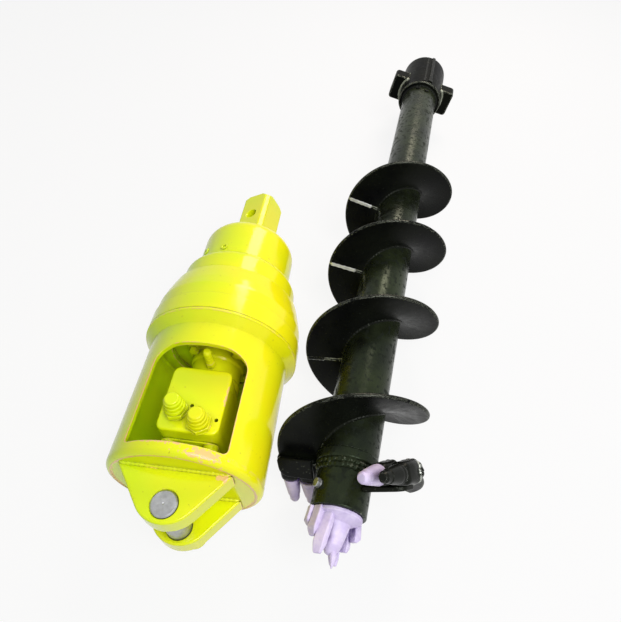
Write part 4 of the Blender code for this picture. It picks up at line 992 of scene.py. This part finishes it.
def makeHub(size):
    # a turned hub with a square socket cut in
    tubeRadius = tubeSize["radius"]
    profile = fillets([(0.0, size["end"], 0), (size["radius"], size["end"], 0.0030),
                       (size["radius"], size["start"], 0.0040), (tubeRadius + slack, size["start"], 0),
                       (tubeRadius + slack, size["start"] + size["seat"], 0),
                       (0.0, size["start"] + size["seat"], 0)], 5)
    socket = plate(roundedBox(2 * size["socket"], 2 * size["socket"], 0.003), size["end"] - size["depth"],
                   size["end"] + 0.01, 0.0002)
    socket = standing(socket, (0, 0, 0), (0, 1, 0))
    mesh = carve("hub", [lathe(profile, 160)], [socket], toAuger)
    augerPiece("hubShell", mesh, hubBlack, "hub", 28.0)


def makeHubWelds(size):
    # the seam round the tube, the flat bars along the hub with a swelling near one end, and two tacks
    seam = around(tubeSize["radius"], size["start"] + 0.0005, circle(400))
    outward = around(1.0, -1.0, circle(400)) / sqrt(2)
    shells = [bead(seam, outward, size["seamWeld"], 0.008, closed=True, flat=0.8)]
    along = np.linspace(size["start"] + 0.010, size["end"] - 0.004, 160)
    for turnAt, wide, high in size["bars"]:
        lift = spoke(radians(turnAt))
        share = circle(24)[None]
        swell = 1 + 0.45 * np.exp(-((along - size["start"] - 0.014) / 0.006) ** 2)[:, None]
        across = wide * swell * np.sign(np.cos(share)) * np.abs(np.cos(share)) ** 0.35
        height = high * np.sign(np.sin(share)) * np.abs(np.sin(share)) ** 0.35
        edge = np.array((-lift[2], 0.0, lift[0]))
        bar = (size["radius"] + height)[..., None] * lift + across[..., None] * edge
        bar = bar + along[:, None, None] * np.array((0.0, 1.0, 0.0))
        shells.append(gridShell(bar, capEnds=True))
    for turnAt, place in size["tacks"]:
        lift = spoke(radians(turnAt))
        tack = plate(roundedBox(0.008, 0.014, 0.0025, 48), -0.003, 0.0038, 0.0016)
        shells.append(standing(tack, offAxis(lift, tubeSize["radius"], place), lift, (0, 1, 0)))
    augerPiece("hubWelds", shells, weldBlack)


def makeLugs(size):
    # a block whose inner side stands in the hub's wall, with a weld along both edges of its foot
    half, deep = size["lugWide"] / 2, size["lugDeep"] / 2
    inner = sqrt(size["radius"] ** 2 - half ** 2) - 0.001
    outer = size["radius"] + size["lugReach"]
    corners = [(inner, -half, 0.0005), (outer, -half, size["lugRound"]), (outer, half, size["lugRound"]),
               (inner, half, 0.0005)]
    loop = resample(fillets(corners, 6, closed=True), 120)
    lug = plate(loop, size["lugAlong"] - deep, size["lugAlong"] + deep, 0.0042, steps=4)
    foot = np.linspace(-0.5, 0.5, 90) * 2 * np.arcsin(half / size["radius"])
    for name, turn, node in (("hubLugLeft", 180.0, "hub_lug_left"), ("hubLugRight", 0.0, "hub_lug_right")):
        roll = radians(turn - size["lugRoll"])
        shells = [standing(lug, (0, 0, 0), (0, 1, 0), spoke(roll))]
        for edge in (-1, 1):
            path = around(size["radius"], size["lugAlong"] + edge * deep, foot + roll)
            outward = around(1.0, float(edge), foot + roll) / sqrt(2)
            shells.append(bead(path, outward, size["lugWeld"], 0.007, flat=0.75))
        augerPiece(name, shells, hubBlack, node)


makeHub(hubSize)
makeHubWelds(hubSize)
makeLugs(hubSize)


def makeTube(size):
    # turned profiles: the tube, the collar and the barrel, with two wandering welds between them and the bit's bolt
    bore = size["radius"] - size["wall"]
    tube = turned([(bore, size["top"], 0.0005), (size["radius"], size["top"], 0.001),
                   (size["radius"], size["low"], 0.001), (bore, size["low"], 0.0005)], 3, 160)
    augerPiece("augerTube", [tube], tubeBlack, "auger_tube")
    top = size["low"] - slack
    low = top - size["collarHigh"]
    ring = turned([(bore, top, 0), (size["collar"], top, 0.0026), (size["collar"], low, 0.0040), (bore, low, 0)], 6)
    augerPiece("collarRing", [ring], tubeBlack, "collar_ring")
    bore = size["barrel"] - size["wall"]
    barrel = turned([(bore, size["barrelTop"], 0), (size["barrel"], size["barrelTop"], 0.001),
                     (size["barrel"], size["barrelLow"], 0.0022), (bore, size["barrelLow"], 0.001)], 5)
    turn = circle(420)
    shells = []
    for along, radius, thick in size["barrelWelds"]:
        wander = along + 0.0008 * np.sin(5 * turn) + 0.0005 * np.sin(11 * turn + along * 900)
        shells.append(bead(around(radius, wander, turn), around(1.0, 0.0, turn), thick, 0.0085, closed=True, flat=0.75))
    augerPiece("barrelShell", [barrel], tubeBlack, "barrel")
    augerPiece("barrelWelds", shells, roughWeld)
    outward = spoke(radians(size["boltTurn"]))
    place = offAxis(outward, size["barrel"], size["barrelLow"] + size["boltUp"])
    head = plate(hexagon(0.0146, 48, 20.0), 0.0008, 0.0073, 0.0008)
    stem = spindle(fillets([(0.0, 0.0012, 0), (0.0083, 0.0012, 0.0003), (0.0083, -0.003, 0), (0.0, -0.003, 0)], 2), 40)
    shells = stood((head, stem), place, outward, (0, 1, 0))
    makePiece("bitBolt", shells, toAuger, silver, "auger", ["bit_bolt"])


makeTube(tubeSize)

flightSize = {"radius": 0.1315, "thick": 0.008, "pitch": 0.2189, "zero": 0.3916, "start": -90.0, "end": 1276.0,
              "weldEnd": 1240.0, "joints": (165.0, 531.0, 913.0), "slit": 0.0026, "seam": 0.0074,
              "seamFrom": (0.066, 0.066, 0.090), "wingFrom": 1056.0, "wingTo": 1115.0, "wingDrop": 0.118,
              "wingPitch": 0.100, "wingThick": 0.0090, "wingInner": 0.0505, "wingRadius": 0.1328}


def flightAlong(angle, size):  # the place on the axis: zero - pitch t / turn, the angle in degrees
    return size["zero"] - size["pitch"] * angle / 360.0


def helicalPlate(first, last, inner, outer, shift, size, startSlit=0.0, endSlit=0.0):
    # a radial line turned and dropped along the axis, with a rounded rim: (r cos t, zero - pitch t / turn, r sin t)
    steps = max(12, int((last - first) / 2.5))
    share = unit(steps + 1)
    half = size["thick"] / 2
    bend = np.linspace(-pi / 2, pi / 2, 9)
    rim = half * 0.9
    across = np.linspace(inner, outer - rim, 12)
    radius = np.concatenate([across, outer - rim + rim * np.cos(bend[1:-1]), across[::-1]])
    height = np.concatenate([np.full(12, -half), half * np.sin(bend[1:-1]), np.full(12, half)])
    inward = 1 - share[:, None]
    trim = (startSlit * inward - endSlit * share[:, None]) / 2 / radius[None]
    angle = np.radians(first + (last - first) * share)[:, None] + trim
    wobble = 1 + 0.0016 * np.sin(angle * 2.3 + 0.7) + 0.0011 * np.sin(angle * 7.1)
    reach = np.where(radius[None] > inner + 1e-6, radius[None] * wobble, radius[None])
    lean = np.arctan2(size["pitch"], 2 * pi * radius)[None]
    along = flightAlong(np.degrees(angle), size) + height[None] / np.cos(lean) + shift
    return gridShell(around(reach, along, angle), capEnds=True)


def helicalWeld(first, last, radius, side, shift, size):
    # a bead along the foot of a flight, on its upper or lower face
    steps = int((last - first) * 1.6)
    angle = np.radians(np.linspace(first, last, steps))
    lean = np.arctan2(size["pitch"], 2 * pi * radius)
    along = flightAlong(np.degrees(angle), size) + side * size["thick"] / 2 / np.cos(lean) + shift
    normal = around(1.0, float(side), angle) / sqrt(2)
    return bead(around(radius, along, angle), normal, 0.0040, 0.0075, flat=0.8, sides=8)


def flightSeam(angle, inner, size):
    # a ground weld along a joint: across it a flat oval a little thicker than the plate, swept out along the radius
    outer = size["radius"] - 0.0012
    share = unit(40)[:, None]
    sweep = circle(24)[None]
    taper = np.clip(np.minimum(share, 1 - share) * 14.0, 0.12, 1.0) ** 0.5
    across = size["seam"] / 2 * taper * np.cos(sweep) * (1 + 0.10 * np.sin(share * 31.0))
    radius = inner + (outer - inner) * share
    turn = radians(angle) + across / radius
    lean = np.arctan2(size["pitch"], 2 * pi * radius)
    half = (size["thick"] / 2 + 0.0009 * np.abs(np.sin(sweep)) ** 0.5) * np.sign(np.sin(sweep) + 1e-9)
    along = flightAlong(np.degrees(turn), size) + half * taper / np.cos(lean)
    return gridShell(around(radius, along, turn), capEnds=True)


def makeFlights(size):
    # the flight in sections with welds at their feet and seams at their joints, and the flatter wing plate
    bounds = (size["start"],) + size["joints"] + (size["end"],)
    inner = tubeSize["radius"] - 0.001
    for number, (first, last) in enumerate(zip(bounds, bounds[1:])):
        startSlit = size["slit"] if number else 0.0
        endSlit = size["slit"] if last != size["end"] else 0.0
        plateShell = helicalPlate(first, last, inner, size["radius"], 0.0, size, startSlit, endSlit)
        stop = last if last != size["end"] else size["weldEnd"]
        welds = [helicalWeld(first + 1.5, stop - 1.5, tubeSize["radius"], side, 0.0, size) for side in (-1, 1)]
        name = "flight_" + str(number + 1)
        augerPiece("flightPlate_" + str(number + 1), [plateShell], black, name, 40.0)
        augerPiece("flightWelds_" + str(number + 1), welds, weldBlack)
    for number, (angle, inner) in enumerate(zip(size["joints"], size["seamFrom"])):
        finish = chippedBlack if number == 2 else seamSteel
        augerPiece("flightSeam_" + str(number + 1), [flightSeam(angle, inner, size)], finish)
    zero = flightAlong(size["wingTo"], size) + size["wingPitch"] * size["wingTo"] / 360.0
    flat = dict(size, thick=size["wingThick"], pitch=size["wingPitch"], zero=zero)
    shells = [helicalPlate(size["wingFrom"], size["wingTo"], size["wingInner"], size["wingRadius"],
                           -size["wingDrop"], flat)]
    for side in (-1, 1):
        shells.append(helicalWeld(size["wingFrom"] + 2, size["wingTo"] - 2, tubeSize["collar"], side,
                                  -size["wingDrop"], flat))
    augerPiece("wingPlate", shells, black, "wing_plate", 40.0)


makeFlights(flightSize)

toothSize = {"main": (0.0765, 0.1130), "wing": (0.0900, 0.1265), "dip": 30.0, "gap": 0.0008, "wide": 0.0352,
             "deep": 0.0376, "long": 0.042, "girth": {"main": (0.0193, 0.0158), "wing": (0.0166, 0.0158)},
             "toothLong": 0.0525, "shank": 0.0094, "shankLong": 0.0275, "shieldOuter": 0.1253,
             "shieldBack": 0.0275, "shield": {"main": (0.0585, -0.014, 0.024), "wing": (0.0500, -0.008, 0.033)},
             "point": ((0.42, 0.0006, 0.0012), (0.58, 0.0050, 0.002), (0.64, 0.0150, 0.001), (0.72, 0.0165, 0.0015)),
             "collar": ((0.93, 0.0130, 0.004), (0.95, 0.0078, 0.001), (1.0, 0.0058, 0.0006), (1.0, 0.0008, 0.0006))}


def makeHolder(size):
    # a block with round corners, thick at its foot and drawn in at its mouth
    share = unit(15)
    long = size["long"]
    loop = roundedBox(size["wide"], size["deep"], 0.011, 80)
    draw = 1 - 0.10 * share ** 2 - 0.16 * np.clip((share - 0.86) / 0.14, 0, 1) ** 2
    draw = draw - 0.08 * np.clip((0.10 - share) / 0.10, 0, 1) ** 2
    lump = 1 + 0.02 * np.sin(9 * share)[:, None] * np.cos(np.linspace(0, 4 * pi, 80))[None]
    points = np.concatenate([loop[None] * (draw[:, None] * lump)[..., None],
                             np.broadcast_to((share * long)[:, None, None], (15, 80, 1))], axis=-1)
    mouth = size["shank"] + 0.0008
    ring = loop / np.linalg.norm(loop, axis=1, keepdims=True) * mouth
    rows = [np.column_stack([ring * 1.15, np.full(80, long)]), np.column_stack([ring, np.full(80, long - 0.001)]),
            np.column_stack([ring, np.full(80, long - size["shankLong"] - 0.001)])]
    return gridShell(np.concatenate([points, np.array(rows)]), capEnds=True)


def shieldPlate(size, start, outward, across, forward, inner, low, high):
    # a plate on the tip side of the holders, with a round outer corner: (radius, forward) carried through across
    outer = size["shieldOuter"]
    corners = [(inner, low, 0.002), (outer, low, 0.008), (outer - 0.002, high, 0.018), (inner, high + 0.002, 0.003)]
    loop = resample(fillets(corners, 10, closed=True), 160)
    points, quads, caps = plate(loop, -size["shieldBack"], -size["deep"] / 2 - 0.0004, 0.0022, steps=4)
    points = points[:, 0:1] * outward + points[:, 1:2] * forward + points[:, 2:3] * across + start
    return points, quads, caps


def holderWeld(size, start, outward, across, forward):
    # a bead round the holder's foot: an oval in its own plane
    sweep = circle(120)
    ring = start + forward * 0.0005 + (size["wide"] * 0.47 * np.cos(sweep))[:, None] * outward
    ring = ring + (size["deep"] * 0.40 * np.sin(sweep))[:, None] * across
    normal = np.cos(sweep)[:, None] * outward + np.sin(sweep)[:, None] * across
    return bead(ring, normal, 0.0058, 0.0095, closed=True, flat=0.85)


def makeTooth(size, girth):
    # a turned tooth: its blunt point, its body and collar as shares of its girth, and its shank
    tip = size["toothLong"]
    point = [(girth * wide, tip - drop, bend) for wide, drop, bend in size["point"]]
    collar = [(girth * wide, along, bend) for wide, along, bend in size["collar"]]
    profile = fillets([(0.0, tip, 0), *point, *collar, (size["shank"], 0.0002, 0),
                       (size["shank"], -size["shankLong"], 0), (0.0, -size["shankLong"], 0)], 4)
    return spindle(profile, 64)


def makeTeeth(size):
    # on each cutting edge two holders that lean forward, a turned tooth in each, and the shield behind them
    dip = radians(size["dip"])
    edges = (("main", flightSize["end"], 0.0, flightSize["pitch"]),
             ("wing", flightSize["wingTo"], -flightSize["wingDrop"], flightSize["wingPitch"]))
    for edge, angle, shift, pitch in edges:
        turn = radians(angle)
        outward = spoke(turn)
        forward = np.array((-sin(turn) * cos(dip), -sin(dip), cos(turn) * cos(dip)))
        across = np.cross(forward, outward)
        middle = np.array((0.0, flightAlong(angle, flightSize) + shift, 0.0))
        shield = shieldPlate(size, middle, outward, across, forward, *size["shield"][edge])
        augerPiece(edge + "Shield", [shield], weldBlack)
        for number, radius in enumerate(size[edge]):
            room = size["gap"] + flightSize["thick"] / 2 * abs(tan(dip - atan2(pitch, 2 * pi * radius)))
            start = outward * radius + middle + forward * room
            name = edge + "Holder_" + str(number + 1)
            holder = standing(makeHolder(size), start, forward, outward)
            weld = holderWeld(size, start, outward, across, forward)
            node = edge + "_holder_" + str(number + 1)
            outer = edge == "wing" and number == 1
            augerPiece(name, [holder, weld], chippedBlack if outer else holderBlack, node, 40.0)
            tooth = makeTooth(size, size["girth"][edge][number])
            tooth = standing(tooth, start + forward * (size["long"] + slack), forward, outward)
            body = edge + "_tooth_" + str(number + 1)
            bare = not outer
            makePiece(edge + "Tooth_" + str(number + 1), [tooth], toAuger, pale if bare else chippedBlack, body,
                      [body])


makeTeeth(toothSize)

bitSize = {"base": 0.0423, "length": 0.083, "radii": (0.0430, 0.0375, 0.0285), "reach": (0.030, 0.047, 0.071),
           "wide": 0.0190, "thick": 0.0146, "first": 163.0, "step": 24.0, "stairTurn": 155.0, "lean": (0.07, 0.11),
           "root": ((0.024, 0.016, 0.004), (0.024 * 0.66, 0.050, 0.006), (0.0090, 0.062, 0.004), (0.0, 0.066, 0))}


def makeFinger(wide, thick, reach):
    # a square bar that ends in a slanted chisel point
    share = np.concatenate([np.linspace(0.0, 0.72, 8), np.linspace(0.76, 1.0, 7)])
    loop = roundedBox(thick, wide, 0.0022, 64)
    nose = np.clip((share - 0.74) / 0.26, 0.0, 1.0)
    scale = np.stack([1 - 0.62 * nose ** 1.3, 1 - 0.40 * nose ** 1.6], axis=-1)
    shift = np.stack([-0.0022 * nose, 0 * nose], axis=-1)
    flat = loop[None] * scale[:, None] + shift[:, None]
    level = np.broadcast_to((-share * reach)[:, None, None], (len(share), 64, 1))
    return gridShell(np.concatenate([flat, level], axis=-1), capEnds=True)


def makeBit(size):
    # a turned root, a bent spike and two stairs of fingers that lean outwards
    base = tubeSize["barrelLow"] - slack
    tip = base - size["length"] + 0.0004
    root = lathe(fillets([(0.0, base, 0), (size["base"], base, 0.001), (size["base"], base - 0.006, 0.0015),
                          *[(radius, base - drop, bend) for radius, drop, bend in size["root"]]], 5), 96)
    share = unit(24)
    middle = np.column_stack([0.006 * share ** 2 + 0.003 * np.sin(pi * share),
                              base - 0.044 - (size["length"] - 0.0445) * share, 0.002 * np.sin(pi * share)])
    sweep = circle(32)
    girth = 0.0112 * (1 - share) ** 0.72 + 0.0006
    spike = np.stack([middle[:, None, 0] + girth[:, None] * np.cos(sweep) * 0.85, middle[:, None, 1] + 0 * sweep,
                      middle[:, None, 2] + girth[:, None] * np.sin(sweep)], axis=-1)
    shells = [root, gridShell(spike, capEnds=True)]
    for side in (0.0, size["stairTurn"]):
        for number, (radius, reach) in enumerate(zip(size["radii"], size["reach"])):
            angle = radians(size["first"] - size["step"] * number + side)
            outward = spoke(angle)
            place = offAxis(outward, radius, base - 0.001)
            points, quads, caps = standing(makeFinger(size["wide"], size["thick"], reach - 0.001), place,
                                           (0, 1, 0), outward)
            tangent = np.array((-sin(angle), 0.0, cos(angle)))
            lean = outward * size["lean"][0] + tangent * size["lean"][1]
            shells.append((points + np.clip(place[1] - points[:, 1:2] - 0.004, 0.0, 1.0) * lean, quads, caps))
    makePiece("pilotBit", shells, toAuger, pale, "auger", ["pilot_bit"], 30.0)


makeBit(bitSize)
print("auger made")

# Floor, lights and camera

stageSize = {"floor": 14.0, "colour": (0.70, 0.70, 0.70, 1), "second": (0.68, 0.68, 0.685, 1), "white": 0.88,
             "world": 0.16, "seenBy": ("Is Camera Ray", "Is Glossy Ray", "Is Transmission Ray")}


def raySum(tree, kinds):
    # 1 for rays of the named kinds, 0 for the rest
    path = addNode(tree, "ShaderNodeLightPath")
    total = path.outputs[kinds[0]]
    for kind in kinds[1:]:
        total = mathNode(tree, "MAXIMUM", total, path.outputs[kind])
    return total


def makeStage(size):
    # the floor looks nearly white and keeps a pale shadow; the world is white where it is seen or mirrored
    half = size["floor"] / 2
    corners = [(-half, -half, layout["floor"]), (half, -half, layout["floor"]), (half, half, layout["floor"]),
               (-half, half, layout["floor"])]
    mesh = bpy.data.meshes.new("paleFloor")
    mesh.from_pydata(corners, [], [(0, 1, 2, 3)])
    floor = bpy.data.objects.new("paleFloor", mesh)
    bpy.context.scene.collection.objects.link(floor)
    material, tree, shader, place = newMaterial("paleFloor", {"Roughness": 0.85, "Specular IOR Level": 0.1})
    soft = rangeNode(tree, noiseNode(tree, place, 3.0, 2.0), 0.3, 0.7, 0.0, 1.0)
    tree.links.new(mixColour(tree, soft, size["colour"], size["second"]), shader.inputs["Base Color"])
    white = addNode(tree, "ShaderNodeEmission", {"Color": (1, 1, 1, 1), "Strength": 1.0})
    share = times(tree, raySum(tree, size["seenBy"]), size["white"])
    mix = addNode(tree, "ShaderNodeMixShader", {0: share, 1: shader.outputs[0], 2: white.outputs[0]})
    tree.links.new(mix.outputs[0], tree.nodes["Material Output"].inputs["Surface"])
    mesh.materials.append(material)
    world = bpy.data.worlds.new("studio")
    bpy.context.scene.world = world
    world.use_nodes = True
    tree = world.node_tree
    plain = tree.nodes["Background"]
    plain.inputs["Color"].default_value = (1, 1, 1, 1)
    plain.inputs["Strength"].default_value = size["world"]
    seen = addNode(tree, "ShaderNodeBackground", {"Color": (1, 1, 1, 1), "Strength": 1.0})
    share = raySum(tree, size["seenBy"])
    mix = addNode(tree, "ShaderNodeMixShader", {0: share, 1: plain.outputs[0], 2: seen.outputs[0]})
    tree.links.new(mix.outputs[0], tree.nodes["World Output"].inputs["Surface"])


def addLamp(name, place, target, power, width, depth, colour):
    # a rectangle of light that faces its target
    lamp = bpy.data.lights.new(name, "AREA")
    lamp.shape = "RECTANGLE"
    lamp.size, lamp.size_y = width, depth
    lamp.energy = power
    lamp.color = colour
    holder = bpy.data.objects.new(name, lamp)
    holder.location = place
    holder.rotation_euler = (Vector(target) - Vector(place)).to_track_quat("-Z", "Y").to_euler()
    bpy.context.scene.collection.objects.link(holder)


makeStage(stageSize)
# place, target, power, width, depth, colour
lamps = {"keyLamp": ((1.35, -1.6, 2.5), (0.15, -0.22, -0.05), 76.0, 1.8, 1.8, (1, 1, 1)),
         "fillLamp": ((-2.2, -1.4, 1.5), (0.15, -0.22, -0.05), 0.6, 2.0, 2.0, (1, 1, 1)),
         "panelLamp": ((0.68, 1.5, 1.60), (0.15, -0.2, 0.05), 30.0, 0.8, 1.2, (1.0, 0.82, 0.72))}
for lampName, lampValues in lamps.items():
    addLamp(lampName, *lampValues)

cameraSize = {"place": (0.248, -0.995, 0.847), "view": (-0.0795, 0.6188, -0.7815), "lens": 29.38, "sensor": 36.0}
camera = bpy.data.cameras.new("photoCamera")
camera.lens = cameraSize["lens"]
camera.sensor_width = cameraSize["sensor"]
camera.sensor_fit = "AUTO"
camera.clip_start = 0.01
eye = bpy.data.objects.new("photoCamera", camera)
eye.location = cameraSize["place"]
eye.rotation_euler = Vector(cameraSize["view"]).to_track_quat("-Z", "Y").to_euler()
bpy.context.scene.collection.objects.link(eye)
bpy.context.scene.camera = eye
bpy.context.scene.view_settings.view_transform = "Standard"
bpy.context.view_layer.update()
print("stage made")
